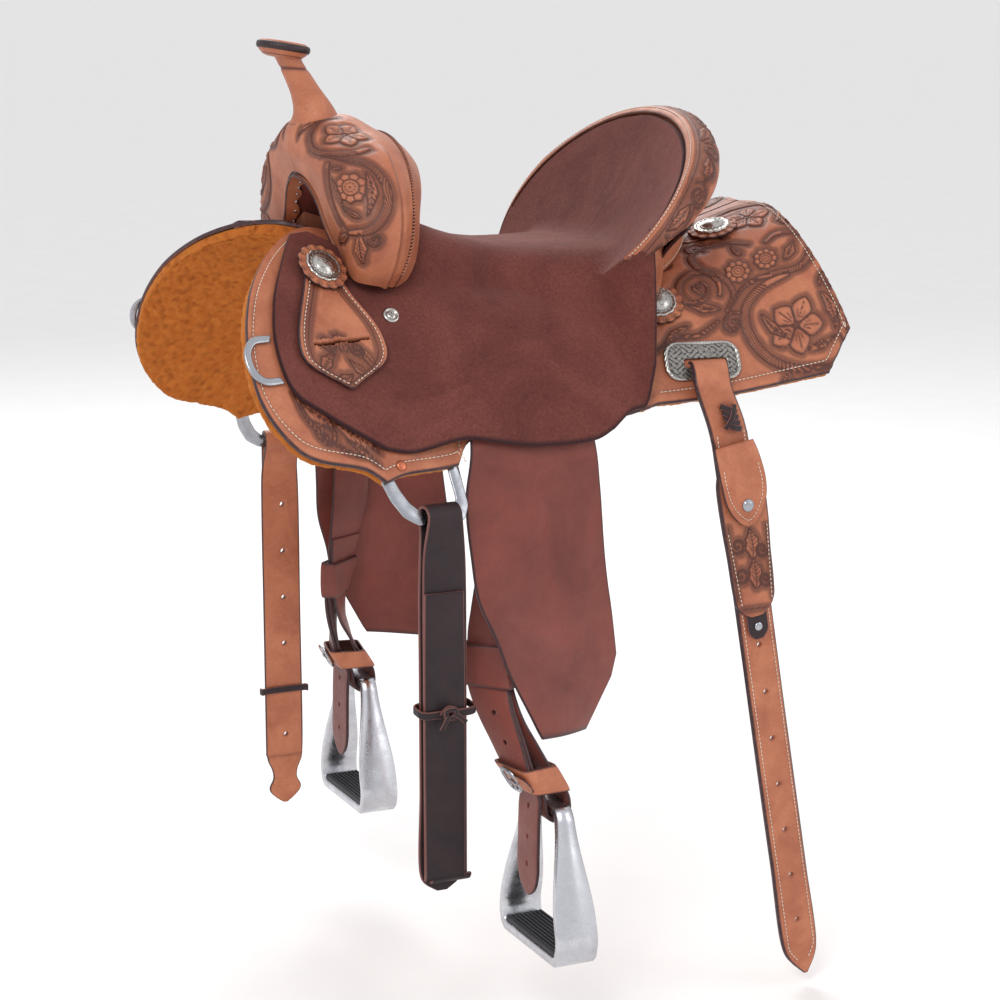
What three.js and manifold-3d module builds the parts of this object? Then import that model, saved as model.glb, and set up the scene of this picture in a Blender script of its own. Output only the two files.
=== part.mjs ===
// Western (barrel-racing) saddle. Millimetres: +Z up, -X towards the horn (front), -Y the near side.
// The near half is built once; the off half is its mirror image, except the straps that differ.
import * as THREE from "three";
import Module from "manifold-3d";

const wasm = await Module();
wasm.setup();

// ---------------------------------------------------------------- driving dimensions
const LEATHER = 5; // skirt and jockey leather
const STRAP = 3.6; // strap and fender leather
const GAP = 0.4; // clearance between neighbouring layers
const FLEECE = 13;
const STRAP_WIDTH = 46;
const RIM = { x: 101, z: 45, along: 74, across: 166, up: 94, end: 2.15 }; // cantle rim ellipse
const SWELL = { halfWidth: 150, middle: 40, height: 100, end: 2.18 }; // swell arch, angle in rad
const GULLET = { halfWidth: 62, middle: 20, height: 70 };
const FOLD = -172; // height at which fenders and stirrup leathers fold outwards, below the jockey
const BAR = [-66, -256, -520]; // middle of the near stirrup's top bar
const UNDERSIDE = { x: -17, z: -776.4 }; // middle of the box's underside, which becomes the part's origin

const V = (x, y, z) => new THREE.Vector3(x, y, z);
const clamp = THREE.MathUtils.clamp;
const lerp = THREE.MathUtils.lerp;

function smooth(a, b, x) {
  const t = clamp((x - a) / (b - a), 0, 1);
  return t * t * (3 - 2 * t);
}

// ---------------------------------------------------------------- leather surfaces
function ridge(x) {
  return -25 + (x < 20 ? 0.36 : 0.32) * (Math.hypot(x - 20, 60) - 60);
}

// Outer face of the skirt: a cubic fall over the ribs, rounder at the withers.
function skirtZ(x, y) {
  const t = smooth(-200, 0, x);
  return ridge(x) - (1 - t) * 0.0047 * y * y - t * 1.85e-5 * Math.abs(y) ** 3;
}

function slope(x, y) {
  const t = smooth(-200, 0, x);
  return (1 - t) * 0.0094 * Math.abs(y) + t * 5.55e-5 * y * y;
}

// Outer face of the jockey, which stands off the skirt where the stirrup leather passes beneath.
function jockeyZ(x, y) {
  const bulge = smooth(-200, -125, x) * (1 - smooth(45, 92, x)) * smooth(70, 130, Math.abs(y));
  return skirtZ(x, y) + (6 + 9 * bulge) * Math.hypot(1, slope(x, y));
}

// Narrow ground seat, falling away to the sides.
function groundZ(x, y) {
  const line = 13 + (x < 10 ? 0.0017 * (x - 10) ** 2 : 0) - 0.02 * Math.max(0, -115 - x) ** 2;
  return line - 22 * (Math.abs(y) / (88 + 30 * smooth(-60, 85, x))) ** 5;
}

// Cantle dish: hollow inside the rim ellipse, dropping steeply outside it.
function dishZ(x, y) {
  const e = ((x - RIM.x) / RIM.along) ** 2 + (y / RIM.across) ** 2;
  return RIM.z + (RIM.up / RIM.along) * (x - RIM.x) - (e < 1 ? 30 * (1 - e) : 250 * (e - 1));
}

function smoothMax(a, b, k) {
  const h = clamp(0.5 + (a - b) / (2 * k), 0, 1);
  return lerp(b, a, h) + k * h * (1 - h);
}

function seatZ(x, y) {
  return smoothMax(smoothMax(groundZ(x, y), jockeyZ(x, y), 10), dishZ(x, y), 16);
}

function normalOf(face, x, y) {
  const d = 0.5;
  const fx = (face(x + d, y) - face(x - d, y)) / (2 * d);
  const fy = (face(x, y + d) - face(x, y - d)) / (2 * d);
  return V(-fx, -fy, 1).normalize();
}

function onFace(face, x, y, lift = 0) {
  return V(x, y, face(x, y)).addScaledVector(normalOf(face, x, y), lift);
}

// ---------------------------------------------------------------- solids
// Closed solid from a vertex list and triangle list, turned to face outwards.
function solid(points, triangles) {
  let volume = 0;
  for (const [a, b, c] of triangles) {
    volume += points[a].dot(V(0, 0, 0).crossVectors(points[b], points[c]));
  }
  const index = triangles.flatMap(([a, b, c]) => (volume < 0 ? [a, c, b] : [a, b, c]));
  const geometry = new THREE.BufferGeometry().setFromPoints(points);
  geometry.setIndex(index);
  return geometry;
}

// Leather-like solid between two matching grids of points.
function shell(outer, inner) {
  const rows = outer.length;
  const cols = outer[0].length;
  const points = [...outer.flat(), ...inner.flat()];
  const at = (layer, i, j) => layer * rows * cols + i * cols + j;
  const triangles = [];
  const quad = (a, b, c, d) => triangles.push([a, b, c], [a, c, d]);
  for (let i = 0; i + 1 < rows; i++) {
    for (let j = 0; j + 1 < cols; j++) {
      quad(at(0, i, j), at(0, i + 1, j), at(0, i + 1, j + 1), at(0, i, j + 1));
      quad(at(1, i, j), at(1, i, j + 1), at(1, i + 1, j + 1), at(1, i + 1, j));
    }
    quad(at(0, i + 1, 0), at(0, i, 0), at(1, i, 0), at(1, i + 1, 0));
    quad(at(0, i, cols - 1), at(0, i + 1, cols - 1), at(1, i + 1, cols - 1), at(1, i, cols - 1));
  }
  for (let j = 0; j + 1 < cols; j++) {
    quad(at(0, 0, j), at(0, 0, j + 1), at(1, 0, j + 1), at(1, 0, j));
    quad(at(0, rows - 1, j + 1), at(0, rows - 1, j), at(1, rows - 1, j), at(1, rows - 1, j + 1));
  }
  return solid(points, triangles);
}

// Closed solid through a row of rings with the same number of points each.
function loft(rings) {
  const n = rings[0].length;
  const middle = (ring) => ring.reduce((sum, p) => sum.add(p), V(0, 0, 0)).divideScalar(n);
  const points = [...rings.flat(), middle(rings[0]), middle(rings[rings.length - 1])];
  const start = points.length - 2;
  const last = (rings.length - 1) * n;
  const triangles = [];
  for (let k = 0; k < n; k++) {
    const next = (k + 1) % n;
    for (let i = 0; i + 1 < rings.length; i++) {
      const a = i * n;
      const b = a + n;
      triangles.push([a + k, a + next, b + next], [a + k, b + next, b + k]);
    }
    triangles.push([start, next, k], [start + 1, last + k, last + next]);
  }
  return solid(points, triangles);
}

// Flat plate from a 2-D outline and holes, placed with its back face on a frame.
function slab(outline, thickness, frame, holes = []) {
  const turnedTo = (points, sign) => {
    const flat = points.map(([a, b]) => new THREE.Vector2(a, b));
    return THREE.ShapeUtils.area(flat) * sign > 0 ? flat : flat.reverse();
  };
  const shape = new THREE.Shape(turnedTo(outline, 1));
  for (const hole of holes) {
    shape.holes.push(new THREE.Path(turnedTo(hole, -1)));
  }
  const geometry = new THREE.ExtrudeGeometry(shape, { depth: thickness, bevelEnabled: false });
  return geometry.applyMatrix4(frame);
}

// Turned solid on a frame: profile of [radius, height] pairs.
function turned(profile, frame, sides = 20) {
  const rings = profile.map(([r, h]) => circle(r, sides).map(([a, b]) => V(a, b, h)));
  return loft(rings).applyMatrix4(frame);
}

function toManifold(geometry) {
  const plain = geometry.index ? geometry.toNonIndexed() : geometry;
  const seen = new Map();
  const vertices = [];
  const corners = [];
  const position = plain.attributes.position;
  for (let i = 0; i < position.count; i++) {
    const p = [position.getX(i), position.getY(i), position.getZ(i)];
    const key = p.map((c) => Math.round(c * 1000)).join();
    if (!seen.has(key)) {
      seen.set(key, seen.size);
      vertices.push(...p);
    }
    corners.push(seen.get(key));
  }
  const vertProperties = Float32Array.from(vertices);
  const mesh = { numProp: 3, vertProperties, triVerts: Uint32Array.from(corners) };
  return new wasm.Manifold(new wasm.Mesh(mesh));
}

function fromManifold(body) {
  const mesh = body.getMesh();
  const geometry = new THREE.BufferGeometry();
  geometry.setAttribute("position", new THREE.BufferAttribute(Float32Array.from(mesh.vertProperties), 3));
  geometry.setIndex(Array.from(mesh.triVerts));
  return geometry;
}

const join = (a, b) => fromManifold(toManifold(a).add(toManifold(b)));
const cut = (a, b) => fromManifold(toManifold(a).subtract(toManifold(b)));
const mirrored = (geometry) => {
  const copy = geometry.toNonIndexed().applyMatrix4(new THREE.Matrix4().makeScale(1, -1, 1));
  const p = copy.attributes.position.array;
  for (let i = 0; i < p.length; i += 9) {
    for (let k = 0; k < 3; k++) [p[i + 3 + k], p[i + 6 + k]] = [p[i + 6 + k], p[i + 3 + k]];
  }
  return copy;
};

// ---------------------------------------------------------------- outlines and frames
function circle(radius, sides = 20) {
  const turn = (k) => (2 * Math.PI * k) / sides;
  return Array.from({ length: sides }, (_, k) => [radius * Math.cos(turn(k)), radius * Math.sin(turn(k))]);
}

function roundedBox(width, height, radius, corner = 4) {
  const points = [];
  for (let q = 0; q < 4; q++) {
    const cx = (q === 0 || q === 3 ? 1 : -1) * (width / 2 - radius);
    const cy = (q < 2 ? 1 : -1) * (height / 2 - radius);
    for (let k = 0; k <= corner; k++) {
      const a = ((q + k / corner) * Math.PI) / 2;
      points.push([cx + radius * Math.cos(a), cy + radius * Math.sin(a)]);
    }
  }
  return points;
}

const shifted = (outline, dx, dy) => outline.map(([a, b]) => [a + dx, b + dy]);

// Smooth curve through [x, y] points, sampled about every `step` mm, both ends kept.
function run(points, step) {
  const curve = new THREE.CatmullRomCurve3(points.map(([x, y]) => V(x, y, 0)), false, "centripetal");
  return curve.getSpacedPoints(Math.max(1, Math.round(curve.getLength() / step))).map((p) => [p.x, p.y]);
}

// Outline made of several smooth runs that meet at corners.
function trace(runs, step) {
  return runs.flatMap((points, i) => run(points, step).slice(i ? 1 : 0));
}

// Frame on a leather face: x level, y up the slope, z outwards.
function frameOn(face, x, y, lift) {
  const n = normalOf(face, x, y);
  const across = V(0, 0, 1).cross(n).normalize();
  const up = n.clone().cross(across);
  return new THREE.Matrix4().makeBasis(across, up, n).setPosition(onFace(face, x, y, lift));
}

// Draped leather between an inner and an outer plan curve. The lifts of its two faces above the
// reference face are numbers or functions of x and y.
function draped(inner, outer, face, upperLift, lowerLift, rows = 8) {
  const lift = (value, x, y) => (typeof value === "function" ? value(x, y) : value);
  const track = new THREE.CatmullRomCurve3(inner.map(([x, y]) => V(x, y, 0)), false, "centripetal");
  const lengths = [0];
  for (let i = 1; i < outer.length; i++) {
    lengths.push(lengths[i - 1] + Math.hypot(outer[i][0] - outer[i - 1][0], outer[i][1] - outer[i - 1][1]));
  }
  const total = lengths[lengths.length - 1];
  const upper = [];
  const lower = [];
  outer.forEach(([x, y], i) => {
    const from = track.getPointAt(lengths[i] / total);
    const upperRow = [];
    const lowerRow = [];
    for (let j = 0; j <= rows; j++) {
      const px = lerp(from.x, x, j / rows);
      const py = lerp(from.y, y, j / rows);
      upperRow.push(onFace(face, px, py, lift(upperLift, px, py)));
      lowerRow.push(onFace(face, px, py, lift(lowerLift, px, py)));
    }
    upper.push(upperRow);
    lower.push(lowerRow);
  });
  return shell(upper, lower);
}

// Strap of rectangular section along stations {at, across, width, thick}.
function strap(stations) {
  const rings = stations.map(({ at, across, width, thick }, i) => {
    const before = stations[Math.max(0, i - 1)].at;
    const after = stations[Math.min(stations.length - 1, i + 1)].at;
    const along = after.clone().sub(before).normalize();
    const side = across.clone().normalize();
    const out = side.clone().cross(along).normalize();
    const corner = (s, t) =>
      at.clone().addScaledVector(side, (s * width) / 2).addScaledVector(out, (t * thick) / 2);
    return [corner(-1, -1), corner(1, -1), corner(1, 1), corner(-1, 1)];
  });
  return loft(rings);
}

// ---------------------------------------------------------------- materials and nodes
const colours = {
  tan: 0xc98f5d, roughout: 0x7a4030, fender: 0x8a4a2e, latigo: 0x3a1a1a, wool: 0xc48a3c, rawhide: 0xd9c9a3,
  steel: 0xb8bcc0, silver: 0xc9c7c0, aluminium: 0xd0d3d6, rubber: 0x1b1b1c, copper: 0xa8623a,
};
const metals = ["steel", "silver", "aluminium", "copper"];
const root = new THREE.Group();
root.name = "western_saddle";
root.position.set(-UNDERSIDE.x, 0, -UNDERSIDE.z);
const offSide = new THREE.Group();
offSide.scale.set(1, -1, 1);
root.add(offSide);

function add(name, geometry, colour, parent = root) {
  const metal = metals.includes(colour);
  const material = new THREE.MeshStandardMaterial({
    color: colours[colour], metalness: metal ? 1 : 0, roughness: metal ? 0.3 : 0.75, name: colour,
  });
  const mesh = new THREE.Mesh(geometry, material);
  mesh.name = name;
  parent.add(mesh);
}

function addPair(name, geometry, colour) {
  add(name + "_near", geometry, colour);
  add(name + "_off", geometry.clone(), colour, offSide);
}

// ---------------------------------------------------------------- skirts, lining, rigging
const skirtInner = [[-242, -50], [-225, -38], [-150, -20], [-60, -4], [60, -2], [180, -2], [288, -2]];
const skirtOuter = trace([
  [
    [-266, -72], [-304, -112], [-329, -145], [-341, -175], [-338, -201], [-308, -219], [-238, -219], [-221, -222],
  ],
  [[-221, -222], [-195, -215], [-140, -208]],
  [[-140, -208], [-126, -198], [-60, -194], [30, -190], [90, -189], [160, -196], [281, -205]],
  [[281, -205], [314, -190]],
  [[314, -190], [298, -136], [293, -86], [294, -47], [288, -8]],
], 26);
const rigAt = [-182, -203];

// The lining is hollowed where the rigging plate is sewn in.
function liningTop(x, y) {
  const off = Math.hypot((x - rigAt[0]) / 60, (y - rigAt[1] - 12) / 36);
  return -LEATHER - GAP - 8 * (1 - smooth(1.05, 1.7, off));
}

function inset(outline, inner, distance) {
  return outline.map(([x, y], i) => {
    const [ix, iy] = inner[Math.round((i / (outline.length - 1)) * (inner.length - 1))];
    const length = Math.hypot(x - ix, y - iy);
    return [x + ((ix - x) * distance) / length, y + ((iy - y) * distance) / length];
  });
}

addPair("skirt", draped(skirtInner, skirtOuter, skirtZ, 0, -LEATHER, 7), "tan");
const liningOuter = inset(skirtOuter, skirtInner, 2);
addPair("fleece", draped(skirtInner, liningOuter, skirtZ, liningTop, -LEATHER - GAP - FLEECE, 7), "wool");

// Flat steel plate sewn behind the skirt; its ring shows below the skirt edge. y down the slope.
const rigFrame = frameOn(skirtZ, rigAt[0], rigAt[1], -10);
const rigOutline = [
  [-46, 26], [44, 26], [45, -10], [45, -60], [37, -74], [-13, -74],
  [-28, -64], [-38, -46], [-44, -24], [-46, -4],
];
const rigHole = [[-29, -16], [32, -16], [33, -54], [30, -59], [-10, -59], [-19, -50], [-26, -36], [-30, -22]];
addPair("rigging_plate", slab(rigOutline, 3, rigFrame, [rigHole]), "steel");
const rivetProfile = [[5, 0], [4.4, 1.2], [2, 2]];
addPair("rigging_rivet", turned(rivetProfile, frameOn(skirtZ, -203, -213, 0.5), 14), "copper");

// Flat U of steel lying on the front of the skirt, its ends at the jockey edge.
const deeFrame = frameOn(skirtZ, -325, -180, 1.1);
const deeOuter = [[-8, 25], [10, 24], [21, 16], [25, 0], [21, -16], [10, -24], [-8, -25]];
const deeInner = [[-8, -18], [8, -17], [15, -10], [17, 0], [15, 10], [8, 17], [-8, 18]];
addPair("breast_dee", slab([...deeOuter, ...deeInner].map(([a, b]) => [-a, b]), 2.6, deeFrame), "steel");

// ---------------------------------------------------------------- tree
// Height a given distance below the seat's outer face, measured square to it.
function underSeat(x, y, distance) {
  return seatZ(x, y) - distance / normalOf(seatZ, x, y).z;
}

function barStation(x, y0, y1) {
  const ring = [];
  for (const y of [y0, (y0 + y1) / 2, y1]) ring.push(onFace(skirtZ, x, -y, 1.2));
  for (const y of [y1, (y0 + y1) / 2, y0]) {
    const top = skirtZ(x, -y) + 15;
    ring.push(V(x, -y, x < -140 ? top : Math.min(top, underSeat(x, -y, 6.2))));
  }
  return ring;
}

const barRows = [
  [-205, 36, 60], [-150, 34, 58], [-100, 32, 64], [-70, 32, 80], [-30, 34, 80],
  [30, 34, 88], [90, 34, 92], [140, 34, 90], [165, 44, 76],
];
addPair("tree_bar", loft(barRows.map((row) => barStation(...row))), "rawhide");

// Swell profile round one arch angle: [along, radial], front foot to rear foot.
const swellProfile = [
  [0, 0], [-0.05, 0.45], [0, 0.85], [0.2, 1], [0.45, 0.97], [0.7, 0.72], [0.9, 0.3], [1, -0.15],
];

function swellRing(angle, size) {
  const turn = Math.abs(angle) / SWELL.end;
  const front = -228 + 18 * turn;
  const rear = -94 - 54 * turn ** 1.5;
  const flare = 1 + 0.75 * smooth(0.5, 1, turn);
  const across = GULLET.halfWidth * flare * Math.sin(angle);
  const inner = V(0, -across, GULLET.middle + GULLET.height * Math.cos(angle));
  const outer = V(0, -SWELL.halfWidth * Math.sin(angle), SWELL.middle + SWELL.height * Math.cos(angle));
  const ring = swellProfile.map(([s, r]) => inner.clone().lerp(outer, r).setX(lerp(front, rear, s)));
  for (const p of ring) p.setZ(Math.max(p.z, seatZ(p.x, p.y) + 2.8 + 6 * (1 - turn)));
  const middle = ring.reduce((sum, p) => sum.add(p), V(0, 0, 0)).divideScalar(ring.length);
  return ring.map((p) => middle.clone().lerp(p, size));
}

const swellAngles = Array.from({ length: 25 }, (_, i) => lerp(-SWELL.end, SWELL.end, i / 24));
const neckFrame = new THREE.Matrix4().makeTranslation(-206, 0, 0);
const neckPlug = turned([[17.4, 100], [17.4, 170]], neckFrame, 20);
const cover = shell(swellAngles.map((a) => swellRing(a, 1)), swellAngles.map((a) => swellRing(a, 0.85)));
add("swell_cover", cut(cover, neckPlug), "tan");
add("tree_fork", cut(loft(swellAngles.slice(2, -2).map((a) => swellRing(a, 0.72))), neckPlug), "rawhide");

// ---------------------------------------------------------------- horn
// Neck sections: middle x, height, half length, half width, tilt.
const neckRows = [
  [-204, 141.2, 25, 30, 0], [-207, 152, 20, 22, 0.1], [-214, 168, 16, 17, 0.1],
  [-224, 186, 14, 14.5, 0], [-232, 201, 13.5, 14, -0.15],
];

function neckRing([x, z, rx, ry, tilt], inward, raise = 0) {
  const height = z + raise;
  return circle(1, 20).map(([a, b]) => V(x + a * (rx - inward), b * (ry - inward), height + a * tilt * rx));
}

const neckBore = [
  neckRing(neckRows[0], 4, -3), ...neckRows.map((row) => neckRing(row, 4)), neckRing(neckRows[4], 4, 3),
];
add("horn_wrap", cut(loft(neckRows.map((row) => neckRing(row, 0))), loft(neckBore)), "tan");
const coreFoot = [101, 146].map((z) => circle(16.4, 20).map(([a, b]) => V(-206 + a, b, z)));
add("horn_core", loft([...coreFoot, ...neckRows.slice(1).map((row) => neckRing(row, 4.5))]), "steel");

const capTilt = new THREE.Matrix4().makeRotationY(0.17).setPosition(-238, 0, 213);
const capProfile = [[13, -9.5], [20, -8], [25.5, -3.5], [26.5, 0], [25.5, 4], [22, 6], [17, 5], [8, 4.2]];
add("horn_cap", turned(capProfile, capTilt, 28), "tan");

// ---------------------------------------------------------------- seat
const rimAngles = Array.from({ length: 25 }, (_, i) => lerp(-RIM.end, RIM.end, i / 24));

function rimPoint(angle, scale = 1) {
  const x = RIM.x + scale * RIM.along * Math.cos(angle);
  return V(x, scale * RIM.across * Math.sin(angle), RIM.z + RIM.up * Math.cos(angle));
}

const seatInner = [
  [-240, -66], [-190, -74], [-140, -64], [-105, -32], [-92, 0],
  [-40, 0], [30, 0], [90, 0], [140, 0], [172, 0],
];
const rimRun = [-125, -108, -90, -72, -54, -38, -22, -6].map((degrees) => {
  const p = rimPoint(THREE.MathUtils.degToRad(degrees), 0.985);
  return [p.x, p.y];
});
const seatOuter = trace([
  [[-262, -78], [-284, -114], [-304, -147], [-313, -176], [-306, -196], [-272, -205], [-217, -213]],
  [[-217, -213], [-172, -211], [-131, -212], [-58, -217], [8, -214], [29, -210]],
  [[29, -210], [49, -204], [81, -196]],
  [[81, -196], [88, -182], [91, -165], rimRun[0]],
  rimRun,
], 24);
const seatHalf = draped(seatInner, seatOuter, seatZ, 0, -LEATHER, 9);
add("seat_leather", join(seatHalf, mirrored(seatHalf)), "roughout");

// ---------------------------------------------------------------- cantle
// Section of the roll: [outward, up] from the stitched rim; the last two lie behind the seat edge.
const rollSection = [[1, 1.5], [6, 7], [18, 9], [30, 4.5], [36, -6], [32, -18], [18, -20]];

function outwardAt(angle) {
  const nx = Math.max(Math.cos(angle) / RIM.along, 0.0045);
  return V(nx, Math.sin(angle) / RIM.across, 0).normalize();
}

function rollRing(angle) {
  const size = 1 - 0.5 * smooth(1.1, RIM.end, Math.abs(angle));
  const p = rimPoint(angle);
  const out = outwardAt(angle);
  const place = ([a, b]) => p.clone().addScaledVector(out, a).add(V(0, 0, b));
  const outer = rollSection.map(([a, b]) => place([a * size + 0.6, b * size]));
  return [...outer, place([7, -19 * size]), place([7, -1])];
}

add("cantle_roll", loft(rimAngles.map(rollRing)), "tan");

function backRow(angle, inward) {
  const top = rimPoint(angle).addScaledVector(outwardAt(angle), 26 - inward).add(V(0, 0, -21.5));
  const foot = V(117 + (84 - inward) * Math.cos(angle), (104 - inward) * Math.sin(angle), 0);
  foot.z = skirtZ(foot.x, foot.y) + 1;
  return [0, 0.35, 0.7, 1].map((t) => top.clone().lerp(foot, t));
}

const backAngles = Array.from({ length: 17 }, (_, i) => lerp(-1.5, 1.5, i / 16));
add("cantle_back", shell(backAngles.map((a) => backRow(a, 0)), backAngles.map((a) => backRow(a, 4))), "tan");

function cantleRing(y) {
  const front = 118 + 0.1 * Math.abs(y);
  const rear = RIM.x + RIM.along * Math.sqrt(1 - (y / RIM.across) ** 2) - 16;
  const ring = [0, 0.5, 1].map((t) => lerp(front, rear, t)).map((x) => V(x, y, underSeat(x, y, 6.5)));
  const base = (x) => V(x, y, skirtZ(x, y) + 17 * Math.hypot(1, slope(x, y)));
  return [...ring, base(rear), base(front)];
}

add("tree_cantle", loft([-96, -72, -48, -24, 0, 24, 48, 72, 96].map(cantleRing)), "rawhide");

// ---------------------------------------------------------------- conchos and latigo keepers
function scalloped(radius, petals) {
  return circle(radius, petals * 4).map(([a, b], k) => {
    const r = 1 - 0.06 * (1 - Math.abs(Math.sin((k * Math.PI) / 4)));
    return [a * r, b * r];
  });
}

const conchoProfile = [[19, 0], [19.5, 1.2], [17, 2.2], [12, 2.6], [10, 4.2], [5, 6.2]];

function addConcho(name, face, x, y, lift) {
  addPair(name + "_rosette", slab(scalloped(27, 14), 3, frameOn(face, x, y, lift)), "tan");
  addPair(name + "_concho", turned(conchoProfile, frameOn(face, x, y, lift + 3 + GAP), 24), "silver");
}

const keeperFront = [[-257, -101], [-270, -130], [-291, -170], [-290, -180], [-247, -189]];
const keeperRear = [[-237, -100], [-223, -125], [-200, -149], [-199, -163], [-242, -188]];
const keeperSlot = new THREE.BoxGeometry(66, 3.4, 60);
keeperSlot.applyMatrix4(new THREE.Matrix4().makeRotationZ(0.23).setPosition(-244, -167, -66));
const keeper = draped(keeperFront, run(keeperRear, 12), seatZ, 6.2, 2.2, 5);
addPair("latigo_keeper", cut(keeper, keeperSlot), "tan");

addConcho("front", seatZ, -247, -113, 7.4);
addConcho("rear", skirtZ, 118, -130, 1.2);
addConcho("top", skirtZ, 221, -61, 1.2);

// ---------------------------------------------------------------- flank plate and billet
const flankFrame = frameOn(skirtZ, 145, -177, 1);
const flankSlot = shifted(roundedBox(47, 9.6, 3, 3), 3, -2.5);
addPair("flank_plate", slab(roundedBox(82, 42, 15, 5), 2.6, flankFrame, [flankSlot]), "silver");

const inFlank = (a, b, c) => V(a, b, c).applyMatrix4(flankFrame);
const FORE_AFT = V(1, 0, 0);
const BILLET_LEAN = V(Math.cos(0.175), 0, Math.sin(0.175));

function station(at, across, width = STRAP_WIDTH, thick = STRAP) {
  return { at, across, width, thick };
}

const billetTop = [[-2.5, 2.6, 3], [-2.5, 5.4, 3.4], [-9, 9.6, 6], [-20, 10.4, 7], [-32, 11, 7]].map(
  ([b, c, thick]) => station(inFlank(3, b, c), FORE_AFT, 42, thick),
);
const billetRow = ([x, y, z, width]) => station(V(x, y, z), BILLET_LEAN, width, 7);
const nearRun = [
  [161, -204, -170, 42], [178, -206, -260, 42], [222, -206, -520, 42],
  [262, -204, -745, 42], [266, -204, -762, 26], [269, -204, -776, 5],
];
const offRun = [
  [161, -204, -170, 42], [178, -206, -260, 42], [201, -206, -395, 42], [205, -205, -415, 26], [208, -204, -430, 5],
];
add("flank_billet_near", strap([...billetTop, ...nearRun.map(billetRow)]), "tan");
add("flank_billet_off", strap([...billetTop, ...offRun.map(billetRow)]), "tan", offSide);

const onBillet = (z, out) => V(lerp(161, 262, (-170 - z) / 575), -206 - out, z);
const sheathRows = [[-212, 50, 6], [-240, 56, 8], [-300, 52, 7], [-352, 48, 5], [-366, 22, 4]];
const sheathFront = (thick) => 4.2 + thick / 2;
const sheathStation = ([z, width, thick]) =>
  station(onBillet(z, sheathFront(thick)), BILLET_LEAN, width, thick);
add("sheath", strap(sheathRows.map(sheathStation)), "tan");
const flapRows = [
  [-184, 46, 4.2], [-204, 50, 10.5], [-222, 52, 14.5], [-246, 44, 15.2], [-262, 24, 14.8], [-268, 8, 14.8],
];
const flapStation = ([z, width, out]) => station(onBillet(z, out + 2.6), BILLET_LEAN, width, 3);
add("sheath_flap", strap(flapRows.map(flapStation)), "tan");

// ---------------------------------------------------------------- latigo and off billet
const inRig = (a, b, c) => V(a, b, c).applyMatrix4(rigFrame);
const ringLoop = Array.from({ length: 8 }, (_, i) => {
  const turn = -0.35 + (i * (Math.PI + 0.7)) / 7;
  const at = inRig(11, -66.5 + 10.4 * Math.sin(turn), 1.5 + 10.4 * Math.cos(turn));
  return station(at, new THREE.Vector3().setFromMatrixColumn(rigFrame, 0), 38);
});
const ringFront = ringLoop[0].at;
const ringBack = ringLoop[ringLoop.length - 1].at;

function hanging(from, y, levels, lean = 0) {
  return levels.map(([z, width]) => station(V(from.x - lean * (z - from.z), y, z), FORE_AFT, width));
}

const latigoFront = hanging(ringFront, -231.5, [[-270, 46], [-400, 46], [-592, 46]]);
const latigoBack = hanging(ringBack, -226.5, [[-270, 46], [-400, 46], [-596, 46], [-606, 12]]);
add("latigo", strap([...latigoFront.reverse(), ...ringLoop, ...latigoBack]), "latigo");

const billetFront = hanging(ringFront, -231.5, [[-270, 44], [-420, 44], [-606, 44], [-631, 40], [-652, 8]]);
const billetBack = hanging(ringBack, -226.5, [[-270, 44], [-420, 44], [-594, 44]]);
add("off_billet", strap([...billetFront.reverse(), ...ringLoop, ...billetBack]), "tan", offSide);

// ---------------------------------------------------------------- fender
// Rows from the top: front edge then rear edge of the outer face, [x, y, z].
const fenderRows = [
  [[-126, -207, FOLD], [9, -205, FOLD]],
  [[-132, -209, -217], [15, -205, -217]],
  [[-129, -215, -276], [20, -204, -270]],
  [[-125, -222, -316], [25, -203, -310]],
  [[-111, -234, -355], [31, -203, -350]],
  [[-101, -242, -388], [36, -203, -392]],
  [[-84, -239, -417], [33, -203, -410]],
  [[-62, -236, -461], [0, -208, -466]],
];

function fenderGrid(depth) {
  return fenderRows.map(([front, rear]) =>
    [0, 0.2, 0.4, 0.6, 0.8, 1].map((t) =>
      V(...front).lerp(V(...rear), t).add(V(0.2 * depth, 0.98 * depth, 0)),
    ),
  );
}

addPair("fender", shell(fenderGrid(0), fenderGrid(STRAP)), "fender");

// ---------------------------------------------------------------- stirrup leather pack
// Middle of the hanging strap layers: [z, x, y, turn in degrees].
const packRows = [
  [-172, -86, -199.6, 0], [-230, -89, -200, 2], [-300, -95, -200, 12], [-350, -103, -201, 30],
  [-390, -108, -206, 48], [-415, -107, -214, 56], [-440, -100, -226, 64], [-480, -84, -245, 78],
  [-508, -68, -256, 90], [-640, -66, -256, 90],
];

function pack(z) {
  const k = packRows.findIndex((row, i) => i > 0 && row[0] <= z);
  const [z0, x0, y0, t0] = packRows[k - 1];
  const [z1, x1, y1, t1] = packRows[k];
  const s = (z0 - z) / (z0 - z1);
  const turn = THREE.MathUtils.degToRad(lerp(t0, t1, s));
  return {
    middle: V(lerp(x0, x1, s), lerp(y0, y1, s), z),
    across: V(Math.cos(turn), -Math.sin(turn), 0),
    rearward: V(Math.sin(turn), Math.cos(turn), 0),
  };
}

// Strap stations through rows of [z, offset rearward, width], closely spaced where the pack turns.
function layer(rows) {
  const stations = [];
  rows.forEach(([z, offset, width = STRAP_WIDTH], k) => {
    const [z0, offset0, width0 = STRAP_WIDTH] = rows[Math.max(0, k - 1)];
    const steps = Math.max(1, Math.ceil(Math.abs(z - z0) / (z < -330 && z > -512 ? 12 : 60)));
    for (let i = k ? 1 : steps; i <= steps; i++) {
      const t = i / steps;
      const { middle, across, rearward } = pack(lerp(z0, z, t));
      const at = middle.addScaledVector(rearward, lerp(offset0, offset, t));
      stations.push(station(at, across, lerp(width0, width, t)));
    }
  });
  return stations;
}

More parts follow.
